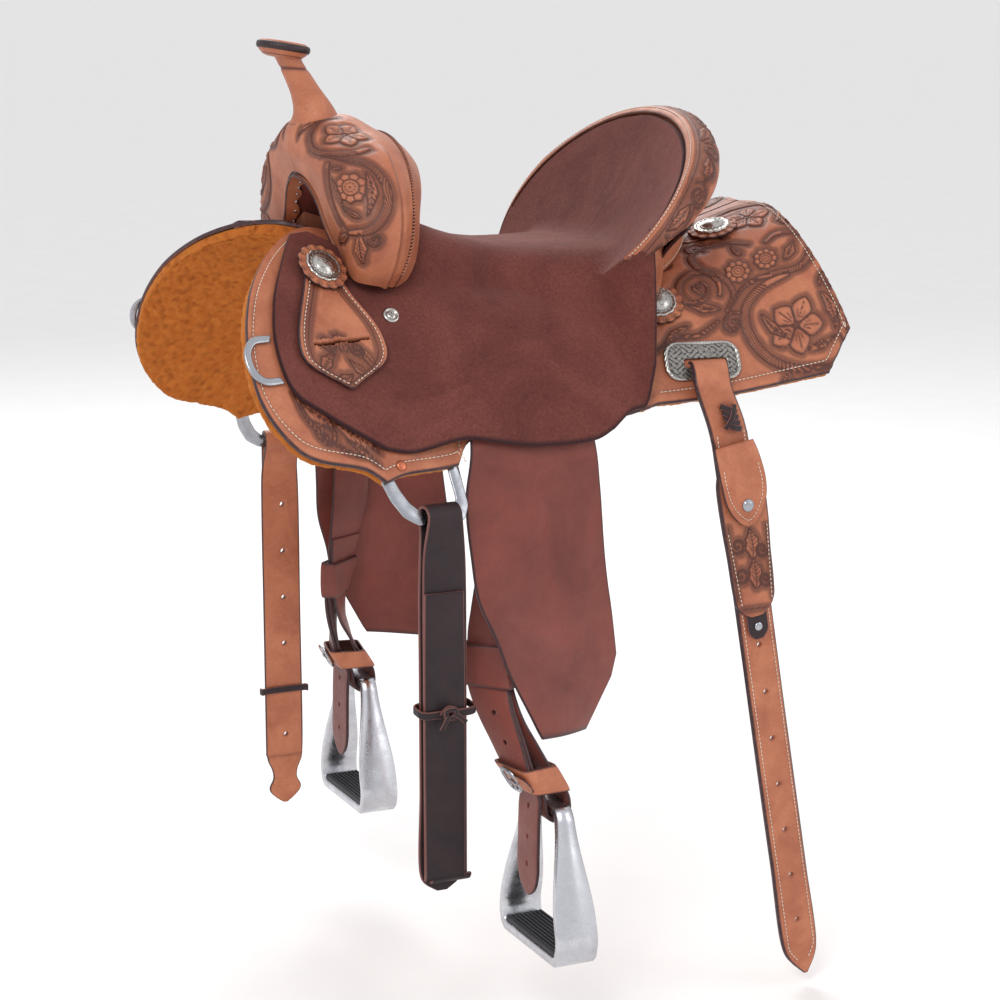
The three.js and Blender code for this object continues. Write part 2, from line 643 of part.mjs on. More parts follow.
// One rectangular band round the pack between two heights.
function packBox(halfWidth, from, to, offset, halfDepth) {
  const steps = 4;
  const rings = Array.from({ length: steps + 1 }, (_, i) => {
    const { middle, across, rearward } = pack(lerp(from, to, i / steps));
    return [[-1, -1], [1, -1], [1, 1], [-1, 1]].map(([a, b]) =>
      middle.clone().addScaledVector(across, a * halfWidth).addScaledVector(rearward, offset + b * halfDepth),
    );
  });
  return loft(rings);
}

const leatherTop = [
  [-64, -99], [-68, -114], [-72, -130], [-77, -148], [-80, -165], [-84, -187], [-85, -195],
].map(([x, y]) => {
  const n = normalOf(skirtZ, x, y);
  return station(onFace(skirtZ, x, y, 2.8), V(1, 0, -n.x / n.z));
});
const frontStrand = layer([
  [FOLD - 2, 0], [-230, 0], [-300, 0], [-350, -1.8], [-390, -2.2], [-440, -5], [-480, -10.5], [-508, -13],
]);
const barLoop = Array.from({ length: 9 }, (_, i) => {
  const turn = Math.PI + (Math.PI * i) / 8;
  return station(V(BAR[0] + 13 * Math.cos(turn), BAR[1], BAR[2] + 13 * Math.sin(turn)), V(0, -1, 0));
});
const rearStrand = layer([[-508, 13], [-480, 10.5], [-440, 5], [-390, 2.2], [-350, 1.4], [-338, 1.4]]);
const tail = layer([
  [-370, -5.2], [-390, -5.9], [-440, -9.4], [-480, -14.8], [-508, -18],
  [-540, -19.5], [-590, -21], [-602, -21, 36], [-612, -21, 8],
]);
leatherTop.push(station(V(-86, -199.6, FOLD + 2), V(1, 0, 0)));
addPair("leather_top", strap(leatherTop), "fender");

const leather = strap([...frontStrand, ...barLoop, ...rearStrand]);
addPair("stirrup_leather", join(leather, strap(tail)), "fender");

const sleeveHole = packBox(24.2, -355, -410, -2.2, 7.9);
addPair("leather_sleeve", cut(packBox(26.6, -365, -406, -2.2, 10.2), sleeveHole), "fender");
const hobbleHole = packBox(24.4, -475, -507, -2.4, 19);
addPair("hobble_strap", cut(packBox(27, -479, -503, -2.4, 21.5), hobbleHole), "tan");

// Round buckle on the front-outer face of the hobble strap.
function hobbleFrame() {
  const face = (z) => pack(z).middle.addScaledVector(pack(z).rearward, -24.8);
  const up = face(-480).sub(face(-502)).normalize();
  const { across } = pack(-491);
  const out = across.clone().cross(up).normalize();
  return new THREE.Matrix4().makeBasis(across, up, out).setPosition(face(-491).addScaledVector(out, 1));
}

const buckleHoles = [shifted(roundedBox(8, 20, 3), 6.5, 0), shifted(roundedBox(7, 20, 3), -6, 0)];
const buckle = slab(roundedBox(26, 28, 8), 3, hobbleFrame(), buckleHoles);
addPair("hobble_buckle", buckle, "steel");

// ---------------------------------------------------------------- stirrups
const stirrupOuter = [
  [-34, 4], [34, 4], [40, -3], [69, -122], [69, -138], [58, -150],
  [-58, -150], [-69, -138], [-69, -122], [-40, -3],
];
const stirrupInner = [[-29, -4], [29, -4], [60, -124], [58, -141], [-58, -141], [-60, -124]];
const acrossFrame = new THREE.Matrix4().makeBasis(V(0, 1, 0), V(0, 0, 1), V(1, 0, 0)).setPosition(-0.5, 0, 0);
const band = slab(stirrupOuter, 1, acrossFrame, [stirrupInner]);
const bandPoints = band.attributes.position;
for (let i = 0; i < bandPoints.count; i++) {
  const depth = lerp(18, 44, smooth(0, 110, -bandPoints.getZ(i)));
  bandPoints.setX(i, bandPoints.getX(i) * depth);
}
addPair("stirrup", band.applyMatrix4(new THREE.Matrix4().makeTranslation(...BAR)), "aluminium");

const treadProfile = [[-20, 0], [20, 0], [20, 7]];
for (let rib = 0; rib < 5; rib++) {
  const x = 16 - 8 * rib;
  treadProfile.push([x + 2.5, 7], [x + 1.5, 4.5], [x - 1.5, 4.5], [x - 2.5, 7]);
}
treadProfile.push([-20, 7]);
const treadFrame = new THREE.Matrix4().makeBasis(V(1, 0, 0), V(0, 0, 1), V(0, -1, 0));
treadFrame.setPosition(BAR[0], BAR[1] + 56, BAR[2] - 140.6);
addPair("stirrup_tread", slab(treadProfile, 112, treadFrame), "rubber");

export default root;
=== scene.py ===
"""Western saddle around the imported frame. Shapes are worked out in millimetres and stored in metres.

+Z up, -X towards the horn, -Y the near side. The near half is built and mirrored for the off half.
"""
import math

import bmesh
import bpy
import numpy as np
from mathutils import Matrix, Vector, kdtree, noise


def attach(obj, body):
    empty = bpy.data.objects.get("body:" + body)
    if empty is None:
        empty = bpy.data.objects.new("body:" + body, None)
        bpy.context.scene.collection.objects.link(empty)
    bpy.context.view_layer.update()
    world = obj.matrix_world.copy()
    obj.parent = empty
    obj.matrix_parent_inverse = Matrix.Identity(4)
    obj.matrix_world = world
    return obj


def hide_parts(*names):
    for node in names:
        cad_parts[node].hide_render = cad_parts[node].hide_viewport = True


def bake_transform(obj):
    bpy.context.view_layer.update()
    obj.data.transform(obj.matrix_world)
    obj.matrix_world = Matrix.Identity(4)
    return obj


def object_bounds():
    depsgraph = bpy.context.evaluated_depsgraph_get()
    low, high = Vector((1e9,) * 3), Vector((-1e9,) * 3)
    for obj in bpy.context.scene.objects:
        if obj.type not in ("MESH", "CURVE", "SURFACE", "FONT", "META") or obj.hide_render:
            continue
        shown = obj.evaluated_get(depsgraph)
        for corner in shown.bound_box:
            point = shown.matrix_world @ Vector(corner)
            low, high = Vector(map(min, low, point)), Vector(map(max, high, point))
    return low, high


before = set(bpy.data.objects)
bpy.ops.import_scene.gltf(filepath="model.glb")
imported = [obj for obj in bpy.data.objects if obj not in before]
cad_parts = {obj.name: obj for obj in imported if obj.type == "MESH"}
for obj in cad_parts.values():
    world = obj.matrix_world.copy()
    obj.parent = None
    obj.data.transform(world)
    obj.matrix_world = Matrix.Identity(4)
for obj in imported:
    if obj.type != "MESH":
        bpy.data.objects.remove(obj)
cad_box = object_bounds()

# ---------------------------------------------------------------- driving dimensions, mm
MM = 0.001
LEATHER = 5.0  # skirts and seat
STRAP = 3.6
FLEECE = 13.0
STRAP_WIDTH = 46.0
RIM = {"x": 101.0, "z": 45.0, "along": 74.0, "across": 166.0, "up": 94.0, "end": 2.15}
SWELL = {"half": 150.0, "middle": 40.0, "height": 100.0, "end": 2.18}
GULLET = {"half": 62.0, "middle": 20.0, "height": 70.0}
BAR = np.array([-66.0, -256.0, -520.0])  # middle of the near stirrup's top bar
ORIGIN = np.array([-17.0, 0.0, -776.4])  # middle of the box's underside, the frame's zero
MIDDLE = Vector((0.017, 0.0, 0.5264))  # centre of the box in the frame, which the lamps face
CAMERA = {"look_at_z": -267.5, "azimuth": -24.9, "elevation": 11.66, "distance": 2.6817, "lens": 89.9}
STITCH_PITCH = 4.6
HOLE = 3.0  # radius of a punched strap hole

# ---------------------------------------------------------------- leather surfaces
def smooth(a, b, x):
    t = np.clip((x - a) / (b - a), 0, 1)
    return t * t * (3 - 2 * t)


def lerp(a, b, t):
    return a + (b - a) * t


def ridge(x):
    return -25 + np.where(x < 20, 0.36, 0.32) * (np.hypot(x - 20, 60) - 60)


def skirt_z(x, y):
    """Outer face of the skirt."""
    t = smooth(-200, 0, x)
    return ridge(x) - (1 - t) * 0.0047 * y * y - t * 1.85e-5 * abs(y) ** 3


def slope(x, y):
    t = smooth(-200, 0, x)
    return (1 - t) * 0.0094 * abs(y) + t * 5.55e-5 * y * y


def jockey_z(x, y):
    bulge = smooth(-200, -125, x) * (1 - smooth(45, 92, x)) * smooth(70, 130, abs(y))
    return skirt_z(x, y) + (6 + 9 * bulge) * np.hypot(1, slope(x, y))


def ground_z(x, y):
    line = 13 + np.where(x < 10, 0.0017 * (x - 10) ** 2, 0) - 0.02 * np.maximum(0, -115 - x) ** 2
    return line - 22 * (abs(y) / (88 + 30 * smooth(-60, 85, x))) ** 5


def dish_z(x, y):
    e = ((x - RIM["x"]) / RIM["along"]) ** 2 + (y / RIM["across"]) ** 2
    hollow = np.where(e < 1, 30 * (1 - e), 250 * (e - 1))
    return RIM["z"] + (RIM["up"] / RIM["along"]) * (x - RIM["x"]) - hollow


def smooth_max(a, b, k):
    h = np.clip(0.5 + (a - b) / (2 * k), 0, 1)
    return lerp(b, a, h) + k * h * (1 - h)


def seat_z(x, y):
    """Outer face of the seat leather, from the jockeys up into the cantle dish."""
    return smooth_max(smooth_max(ground_z(x, y), jockey_z(x, y), 10), dish_z(x, y), 16)


def unit(v):
    return v / np.maximum(np.linalg.norm(v, axis=-1, keepdims=True), 1e-9)


def normal_of(face, x, y):
    d = 0.5
    fx = (face(x + d, y) - face(x - d, y)) / (2 * d)
    fy = (face(x, y + d) - face(x, y - d)) / (2 * d)
    return unit(np.stack([-fx, -fy, np.ones_like(fx)], axis=-1))


def on_face(face, x, y, lift=0.0):
    x = np.asarray(x, float)
    y = np.asarray(y, float)
    flat = np.stack([x, y, face(x, y)], axis=-1)
    return flat + normal_of(face, x, y) * np.asarray(lift, float)[..., None]


def frame_on(face, x, y, lift):
    """4x4 frame on a face: x level, y up the slope, z outwards."""
    n = normal_of(face, np.float64(x), np.float64(y))
    across = unit(np.cross([0, 0, 1], n))
    return frame_of(across, np.cross(n, across), n, on_face(face, x, y, lift))


def frame_of(across, up, out, at):
    """4x4 frame from its three axes and its origin."""
    m = np.eye(4)
    m[:3, 0], m[:3, 1], m[:3, 2], m[:3, 3] = across, up, out, at
    return m


def placed(m, points):
    return points @ m[:3, :3].T + m[:3, 3]


# ---------------------------------------------------------------- curves
def curve(points, step):
    """Centripetal Catmull-Rom curve, evenly sampled. The first three columns are the position."""
    p = np.array(points, float)
    p = np.vstack([2 * p[0] - p[1], p, 2 * p[-1] - p[-2]])
    dims = min(3, p.shape[1])
    gap = np.maximum(np.linalg.norm(np.diff(p[:, :dims], axis=0), axis=1), 1e-6) ** 0.5
    t = np.linspace(0, 1, 24, endpoint=False)[:, None]
    samples = []
    for i in range(len(p) - 3):
        a, b, c, d = p[i:i + 4]
        g0, g1, g2 = gap[i:i + 3]
        m1 = ((b - a) / g0 - (c - a) / (g0 + g1) + (c - b) / g1) * g1
        m2 = ((c - b) / g1 - (d - b) / (g1 + g2) + (d - c) / g2) * g1
        samples.append(b + m1 * t + (3 * (c - b) - 2 * m1 - m2) * t ** 2 + (2 * (b - c) + m1 + m2) * t ** 3)
    return even(np.vstack([*samples, p[-2:-1]]), step)


def even(points, step=None, count=None):
    """Points spread evenly along a polyline."""
    dims = min(3, points.shape[1])
    length = np.concatenate([[0], np.cumsum(np.linalg.norm(np.diff(points[:, :dims], axis=0), axis=1))])
    count = count or max(2, int(round(length[-1] / step)) + 1)
    at = np.linspace(0, length[-1], count)
    return np.stack([np.interp(at, length, points[:, k]) for k in range(points.shape[1])], axis=1)


def trace(runs):
    """Outline from (points, step) runs that meet at corners."""
    parts = [curve(points, step) for points, step in runs]
    return np.vstack([parts[0]] + [part[1:] for part in parts[1:]])


def closed_loop(points, count):
    """Evenly sampled closed curve through a few points."""
    p = np.array(points, float)
    fine = curve(np.vstack([p[-2:], p, p[:2]]), 0.25)
    first = np.argmin(np.linalg.norm(fine - p[0], axis=1)[:len(fine) // 2])
    last = len(fine) // 2 + np.argmin(np.linalg.norm(fine - p[0], axis=1)[len(fine) // 2:])
    return even(fine[first:last + 1], count=count + 1)[:-1]


def polygon(points, count, corner=0.0):
    """Evenly sampled closed polygon whose corners are rounded by a few smoothing passes."""
    p = np.array(points, float)
    ring = even(np.vstack([p, p[:1]]), count=count + 1)[:-1]
    for _ in range(int(corner)):
        ring = 0.5 * ring + 0.25 * (np.roll(ring, 1, axis=0) + np.roll(ring, -1, axis=0))
    return ring


def grid_normals(p):
    du = np.gradient(p, axis=0)
    dv = np.gradient(p, axis=1)
    return unit(np.cross(du, dv))


# ---------------------------------------------------------------- mesh assembly
class Shape:
    """Points with dark and edge values, and faces, gathered before they become one mesh."""

    def __init__(self):
        self.points, self.dark, self.edge, self.faces = [], [], [], []
        self.count = 0

    def add(self, points, dark=0.0, edge=0.0):
        points = np.asarray(points, float)
        shape = points.shape[:-1]
        n = int(np.prod(shape))
        self.points.append(points.reshape(n, 3))
        self.dark.append(np.broadcast_to(np.asarray(dark, float), shape).reshape(n))
        self.edge.append(np.broadcast_to(np.asarray(edge, float), shape).reshape(n))
        index = np.arange(self.count, self.count + n).reshape(shape)
        self.count += n
        return index

    def grid(self, index, wrap_rows=False, wrap_cols=False):
        if wrap_rows:
            index = np.vstack([index, index[:1]])
        if wrap_cols:
            index = np.hstack([index, index[:, :1]])
        a, b, c, d = index[:-1, :-1], index[1:, :-1], index[1:, 1:], index[:-1, 1:]
        self.faces.append(np.stack([a, b, c, d], axis=-1).reshape(-1, 4))

    def cap(self, ring, edge=0.0):
        points = np.vstack(self.points)[ring]
        centre = self.add(points.mean(axis=0)[None, :], 0.0, edge)[0]
        after = np.roll(ring, -1)
        self.faces.append(np.stack([ring, after, np.full_like(ring, centre)], axis=-1))

    def tube(self, index, edge=0.0):
        """Faces round a stack of rings, with both ends closed."""
        self.grid(index, wrap_cols=True)
        self.cap(index[0], edge)
        self.cap(index[-1], edge)

    def join(self, other):
        offset = self.count
        self.points += other.points
        self.dark += other.dark
        self.edge += other.edge
        self.faces += [f + offset for f in other.faces]
        self.count += other.count
        return self

    def moved(self, m):
        self.points = [placed(m, p) for p in self.points]
        return self


def to_object(shape, name, material, mirror=False, weld=0.0):
    points = (np.vstack(shape.points) - ORIGIN) * MM
    if mirror:
        points = points * [1, -1, 1]
    mesh = bpy.data.meshes.new(name)
    mesh.vertices.add(len(points))
    mesh.vertices.foreach_set("co", points.astype(np.float32).ravel())
    loops = np.concatenate([(f[:, ::-1] if mirror else f).ravel() for f in shape.faces])
    sizes = np.concatenate([np.full(len(f), f.shape[1]) for f in shape.faces])
    starts = np.concatenate([[0], np.cumsum(sizes)[:-1]])
    mesh.loops.add(len(loops))
    mesh.loops.foreach_set("vertex_index", loops.astype(np.int32))
    mesh.polygons.add(len(sizes))
    mesh.polygons.foreach_set("loop_start", starts.astype(np.int32))
    for key, values in (("dark", shape.dark), ("edge", shape.edge)):
        layer = mesh.attributes.new(key, "FLOAT", "POINT")
        layer.data.foreach_set("value", np.concatenate(values).astype(np.float32))
    mesh.update(calc_edges=True)
    work = bmesh.new()
    work.from_mesh(mesh)
    if weld:
        bmesh.ops.remove_doubles(work, verts=work.verts, dist=weld * MM)
    bmesh.ops.recalc_face_normals(work, faces=work.faces)
    for face in work.faces:
        face.smooth = True
    work.to_mesh(mesh)
    work.free()
    mesh.materials.append(material)
    piece = bpy.data.objects.new(name, mesh)
    bpy.context.scene.collection.objects.link(piece)
    return piece


def piece(shape, name, material, body="saddle", node=None, side="near", weld=0.0, cut=None):
    """One shape as a piece on a body. It stands for the CAD node, and the cut shape is taken out of it."""
    made = to_object(shape, name, material, side == "off", weld)
    if cut:
        punch(made, cut, side == "off")
    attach(made, body)
    if node:
        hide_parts(node)


def pair(shape, name, material, body="saddle", node=None, cut=None):
    """A near piece and its mirror image. The node, and any body but the saddle, get their side added."""
    for side in ("near", "off"):
        own_body = body if body == "saddle" else body + side
        piece(shape, f"{name}_{side}", material, own_body, node and f"{node}_{side}", side, cut=cut)


def punch(made, cutter_shape, mirror):
    """Cuts a shape's volume out of a piece."""
    cutter = to_object(cutter_shape, "cutter", made.data.materials[0], mirror)
    tool = made.modifiers.new("punch", "BOOLEAN")
    tool.operation = "DIFFERENCE"
    tool.solver = "EXACT"
    tool.object = cutter
    graph = bpy.context.evaluated_depsgraph_get()
    cut_mesh = bpy.data.meshes.new_from_object(made.evaluated_get(graph))
    made.modifiers.clear()
    made.data = cut_mesh
    bpy.data.objects.remove(cutter)


# ---------------------------------------------------------------- sheets, straps and turned shapes
RIM_PROFILE = [(0.55, 0.12), (0.95, 0.32), (0.95, 0.68), (0.55, 0.88)]  # outward, depth shares


def boundary(rows, cols):
    """Grid indices round the outside, and the next indices inwards."""
    across, down = np.arange(cols - 1), np.arange(rows - 1)
    i = np.concatenate([0 * across, down, 0 * across + rows - 1, rows - 1 - down])
    j = np.concatenate([across, 0 * down + cols - 1, cols - 1 - across, 0 * down])
    return i, j, np.clip(i, 1, rows - 2), np.clip(j, 1, cols - 2)


def sheet(top, under, dark=0.0, back="full", edge=None, open_row=None):
    """Leather between two grids, with a rounded rim. back "lip" only turns the rim under."""
    shape = Shape()
    rows, cols = top.shape[:2]
    i, j, inner_i, inner_j = boundary(rows, cols)
    edges = np.zeros((rows, cols)) if edge is None else edge.copy()
    edges[i, j] = 1.0
    t = shape.add(top, dark, edges)
    shape.grid(t)
    upper, lower = top[i, j], under[i, j]
    out = unit(upper - top[inner_i, inner_j])
    bulge = 0.3 * np.linalg.norm(lower - upper, axis=1, keepdims=True)
    rings = [t[i, j]]
    for outward, depth in RIM_PROFILE:
        rings.append(shape.add(upper + out * bulge * outward + (lower - upper) * depth, 0.0, 1.0))
    if back == "full":
        u = shape.add(under, 0.0, edges * 0.8)
        shape.grid(u)
        rings.append(u[i, j])
    else:
        rings.append(shape.add(lower, 0.0, 0.8))
        rings.append(shape.add(lower - out * 8, 0.0, 0.4))
    band = np.stack(rings)
    if open_row is not None:
        keep = ~((j == 0) & (np.roll(j, -1) == 0) & open_row(i))
        for a, b in zip(band[:-1], band[1:]):
            quads = np.stack([a, np.roll(a, -1), np.roll(b, -1), b], axis=-1)
            shape.faces.append(quads[keep])
    else:
        shape.grid(band, wrap_cols=True)
    return shape


def section(width, thick, crown=0.0, sides=6):
    """Rounded strap section as [across, out] points with their edge values."""
    r = min(0.45 * thick, 0.5 * width)
    flat = np.linspace(-1, 1, sides)
    top = [((width / 2 - r) * f, thick / 2 + crown * (1 - f * f), 0.0) for f in flat]
    turn = [(width / 2 - r + r * math.cos(a), (thick / 2 - r) + r * math.sin(a), 1.0) for a in (1.05,
                                                                                                0.4)]
    right = turn + [(a, -b, e) for a, b, e in reversed(turn)]
    bottom = [((width / 2 - r) * f, -thick / 2, 0.0) for f in flat[::-1]]
    left = [(-a, b, e) for a, b, e in reversed(right)]
    return top + right + bottom + left


def strap(stations, step=4.0, crown=0.0, sides=6):
    """Strap through rows of [x, y, z, across x, y, z, width, thick], smooth between them."""
    rows = curve(stations, step)
    middle, width, thick = rows[:, :3], rows[:, 6], rows[:, 7]
    across = unit(rows[:, 3:6])
    along = unit(np.gradient(middle, axis=0))
    out = unit(np.cross(across, along))
    rings, edges = [], []
    for k in range(len(rows)):
        ring = np.array(section(width[k], thick[k], crown, sides))
        rings.append(middle[k] + ring[:, :1] * across[k] + ring[:, 1:2] * out[k])
        edges.append(ring[:, 2])
    shape = Shape()
    shape.tube(shape.add(np.array(rings), 0.0, np.array(edges)), 1.0)
    return shape


def station(at, across, width=STRAP_WIDTH, thick=STRAP):
    return [*at, *across, width, thick]


def turned(profile, m, sides=48, ripple=None, dark=None):
    """Turned solid on a frame from [radius, height] pairs; ripple changes the radius round the turn."""
    rows = np.array(profile, float)
    angle = np.linspace(0, 2 * math.pi, sides, endpoint=False)
    radius = rows[:, :1] * np.ones(sides)
    height = rows[:, 1:2] * np.ones(sides)
    if ripple:
        radius, height = ripple(radius, height, angle[None, :])
    points = np.stack([radius * np.cos(angle), radius * np.sin(angle), height], axis=-1)
    shape = Shape()
    shape.tube(shape.add(points, dark(radius, angle[None, :]) if dark else 0.0))
    return shape.moved(m)


def ring_plate(outer, inner, thick, m, bevel=0.8):
    """Flat plate with a hole between two loops of equal length, its edges bevelled."""
    outer, inner = np.array(outer), np.array(inner)
    inwards = unit(inner - outer)
    rows = []
    corner = [(0, bevel), (0, thick - bevel), (0.3 * bevel, thick - 0.3 * bevel), (bevel, thick)]
    rows += [(outer + inwards * inset, height) for inset, height in corner]
    rows += [(inner - inwards * inset, height) for inset, height in corner[::-1]]
    rows += [(inner - inwards * bevel, 0), (outer + inwards * bevel, 0)]
    points = [np.column_stack([loop, np.full(len(loop), height)]) for loop, height in rows]
    shape = Shape()
    index = shape.add(np.array(points))
    shape.grid(index, wrap_rows=True, wrap_cols=True)
    return shape.moved(m)


STITCH_HALF = [(0.5, 0.1, -0.5), (0.42, 0.75, -0.1), (0.2, 1, 0.3)]  # share of length, size, lift
STITCH_SHAPE = [(-share, size, lift) for share, size, lift in STITCH_HALF] + STITCH_HALF[::-1]


def stitches(path, normals, length=3.3, radius=0.5, pitch=STITCH_PITCH):
    """Row of thread stitches lying on a surface path."""
    both = even(np.hstack([path, normals]), pitch)
    middle, up = (both[:-1, :3] + both[1:, :3]) / 2, unit(both[:-1, 3:6])
    along = unit(np.diff(both[:, :3], axis=0))
    side = np.cross(up, along)
    angle = np.linspace(0, 2 * math.pi, 6, endpoint=False)
    rings = []
    for share, size, lift in STITCH_SHAPE:
        centre = middle + along * share * length + up * lift * radius
        ring = [centre + (side * math.cos(a) + up * math.sin(a)) * radius * size for a in angle]
        rings.append(np.stack(ring, axis=1))
    points = np.stack(rings, axis=1)
    shape = Shape()
    index = shape.add(points)
    a = index[:, :-1, :]
    b = index[:, 1:, :]
    quads = np.stack([a, np.roll(a, -1, axis=2), np.roll(b, -1, axis=2), b], axis=-1)
    shape.faces.append(quads.reshape(-1, 4))
    for end in (index[:, 0, :], index[:, -1, :]):
        shape.faces.append(end)
    return shape


def lace(points, width=6.0, thick=2.2, up=(0, -1, 0), step=2.0):
    """Narrow leather lace through a few points."""
    p = np.array(points, float)
    across = unit(np.cross(np.gradient(p, axis=0), np.array(up, float)))
    return strap([station(a, b, width, thick) for a, b in zip(p, across)], step, sides=3)


def cylinders(rows, radius=HOLE, sides=14):
    """Cutting pins from [from point, to point] pairs."""
    shape = Shape()
    for start, stop in rows:
        axis = unit(np.array(stop, float) - start)
        helper = np.array([1.0, 0, 0]) if abs(axis[0]) < 0.8 else np.array([0, 1.0, 0])
        side = unit(np.cross(axis, helper))
        height = float(np.linalg.norm(np.array(stop, float) - start))
        m = frame_of(side, np.cross(axis, side), axis, start)
        pin = turned([[radius, 0], [radius, height]], m, sides)
        pin.edge = [np.ones_like(e) for e in pin.edge]
        shape.join(pin)
    return shape


# ---------------------------------------------------------------- carved patterns
class Tooling:
    """Carved pattern on a plane: cut lines, and the shapes that stand out of a beaten ground."""

    def __init__(self):
        self.lines, self.sizes, self.shapes = [], [], []

    def stroke(self, line, width=0.9, depth=0.7):
        line = even(np.array(line, float), 0.5)
        self.lines.append(line)
        self.sizes.append(np.tile([width, depth], (len(line), 1)))

    def bend(self, points, width=0.9, depth=0.7):
        self.stroke(curve(points, 0.5), width, depth)

    def dot(self, x, y, width=1.3, depth=0.8):
        self.lines.append(np.array([[x, y]]))
        self.sizes.append(np.array([[width, depth]]))

    def outline(self, loop, width=1.15, depth=0.95):
        """Closed cut line whose inside stands proud."""
        loop = np.vstack([loop, loop[:1]])
        self.stroke(loop, width, depth)
        self.shapes.append(even(loop, 1.2)[:-1])

    def add(self, other, flip):
        self.lines += [line * flip for line in other.lines]
        self.shapes += [loop * flip for loop in other.shapes]
        self.sizes += other.sizes

    def inside(self, u, v):
        found = np.zeros(u.shape, bool)
        for loop in self.shapes:
            low, high = loop.min(axis=0), loop.max(axis=0)
            near = (u > low[0]) & (u < high[0]) & (v > low[1]) & (v < high[1])
            a, b = u[near][:, None], v[near][:, None]
            (x0, y0), (x1, y1) = loop.T, np.roll(loop, -1, axis=0).T
            crossing = (y0 > b) != (y1 > b)
            at = x0 + (b - y0) * (x1 - x0) / np.where(y1 == y0, 1.0, y1 - y0)
            found[near] |= np.sum(crossing & (a < at), axis=1) % 2 == 1
        return found

    def sample(self, u, v, ground=7.0):
        """Height and darkness at each point; the ground is beaten down within a distance of the cuts."""
        at, sizes = np.vstack(self.lines), np.vstack(self.sizes)
        tree = kdtree.KDTree(len(at))
        for k, (a, b) in enumerate(at):
            tree.insert((a, b, 0), k)
        tree.balance()
        low, high = at.min(axis=0) - ground, at.max(axis=0) + ground
        height, dark = np.zeros(u.shape), np.zeros(u.shape)
        near = (u > low[0]) & (u < high[0]) & (v > low[1]) & (v < high[1])
        inside = self.inside(u, v)
        for i, j in np.argwhere(near):
            _, k, distance = tree.find((u[i, j], v[i, j], 0))
            if distance < ground:
                width, depth = sizes[k]
                cut = math.exp(-(distance / width) ** 2)
                shade = math.exp(-(distance / (2.4 * width)) ** 2)
                if inside[i, j]:
                    height[i, j] = 0.55 * min(1.0, distance / 3.0) - depth * cut
                    dark[i, j] = min(1.0, 0.95 * cut + 0.25 * shade)
                else:
                    fade = min(1.0, 2.2 * (1 - distance / ground))
                    height[i, j] = -0.85 * fade * min(1.0, distance) - depth * cut
                    dark[i, j] = min(1.0, max(0.95 * cut + 0.25 * shade, 0.62 * fade))
        return height, dark


def spiral(x, y, r0, r1, start, turns, squash=1.0):
    """Spiral points from radius r0 to r1, starting at an angle in degrees."""
    count = int(max(12, 40 * abs(turns)))
    a = math.radians(start) + np.linspace(0, 2 * math.pi * turns, count)
    r = np.linspace(r0, r1, count)
    return np.column_stack([x + r * np.cos(a), y + squash * r * np.sin(a)])


def ribbon(tool, points, start=4.0, stop=4.0, veins=2):
    """Flowing stem with its own outline and lines that run along inside it."""
    path = np.asarray(points, float)
    side = unit(np.gradient(path, axis=0))[:, ::-1] * [-1, 1]
    t = np.linspace(0, 1, len(path))[:, None]
    half = lerp(start, stop, t) * 0.5 * np.sin(math.pi * np.clip(t * 0.9 + 0.06, 0, 1)) ** 0.45
    tool.outline(np.vstack([path + side * half, (path - side * half)[::-1]]))
    trim = slice(len(path) // 12, -max(1, len(path) // 8))
    for k in range(veins):
        share = 2 * (k + 1) / (veins + 1) - 1
        tool.stroke((path + side * half * share)[trim], 0.6, 0.4)


def stem(tool, points, start=6.0, stop=3.0, veins=2):
    ribbon(tool, curve(points, 1.0), start, stop, veins)


def scroll(tool, x, y, r0, r1, start, turns, width=8.0, squash=1.0):
    """Stem that rolls up into a curl with a bead at its end."""
    ribbon(tool, spiral(x, y, r0, r1, start, turns, squash), width, width * 0.55, 2 if width > 5 else 1)
    end = math.radians(start) + 2 * math.pi * turns
    bead = max(1.2, width * 0.36)
    dx, dy = 0.45 * r1 * math.cos(end), 0.45 * r1 * math.sin(end) * squash
    tool.outline(spiral(x + dx, y + dy, bead, bead, 0, 0.97))


def petal(tool, x, y, angle, length, width):
    """One broad pointed petal from a centre, with its midrib and two short veins."""
    c, s = math.cos(math.radians(angle)), math.sin(math.radians(angle))
    profile = curve([(0.1, 0.05), (0.3, 0.36), (0.58, 0.56), (0.82, 0.36), (1.0, 0.0)], 0.02)
    side = np.array([(t * c - w * s * width / length, t * s + w * c * width / length) for t,
                     w in profile])
    other = np.array([(t * c + w * s * width / length, t * s - w * c * width / length) for t,
                      w in profile])
    tool.outline(np.vstack([side, other[::-1]]) * length + [x, y])
    tool.stroke([(x + length * t * c, y + length * t * s) for t in (0.25, 0.8)], 0.6, 0.45)
    for lean in (-15, 15):
        a, b = math.cos(math.radians(angle + lean)), math.sin(math.radians(angle + lean))
        tool.stroke([(x + length * t * a, y + length * t * b) for t in (0.3, 0.52)], 0.5, 0.35)


def flower(tool, x, y, radius, turn=0.0, petals=5):
    for k in range(petals):
        petal(tool, x, y, turn + 360 * k / petals, radius, radius * 0.66)
    tool.outline(spiral(x, y, 3, 3, 0, 0.97))
    tool.dot(x, y, 1.2, 0.8)


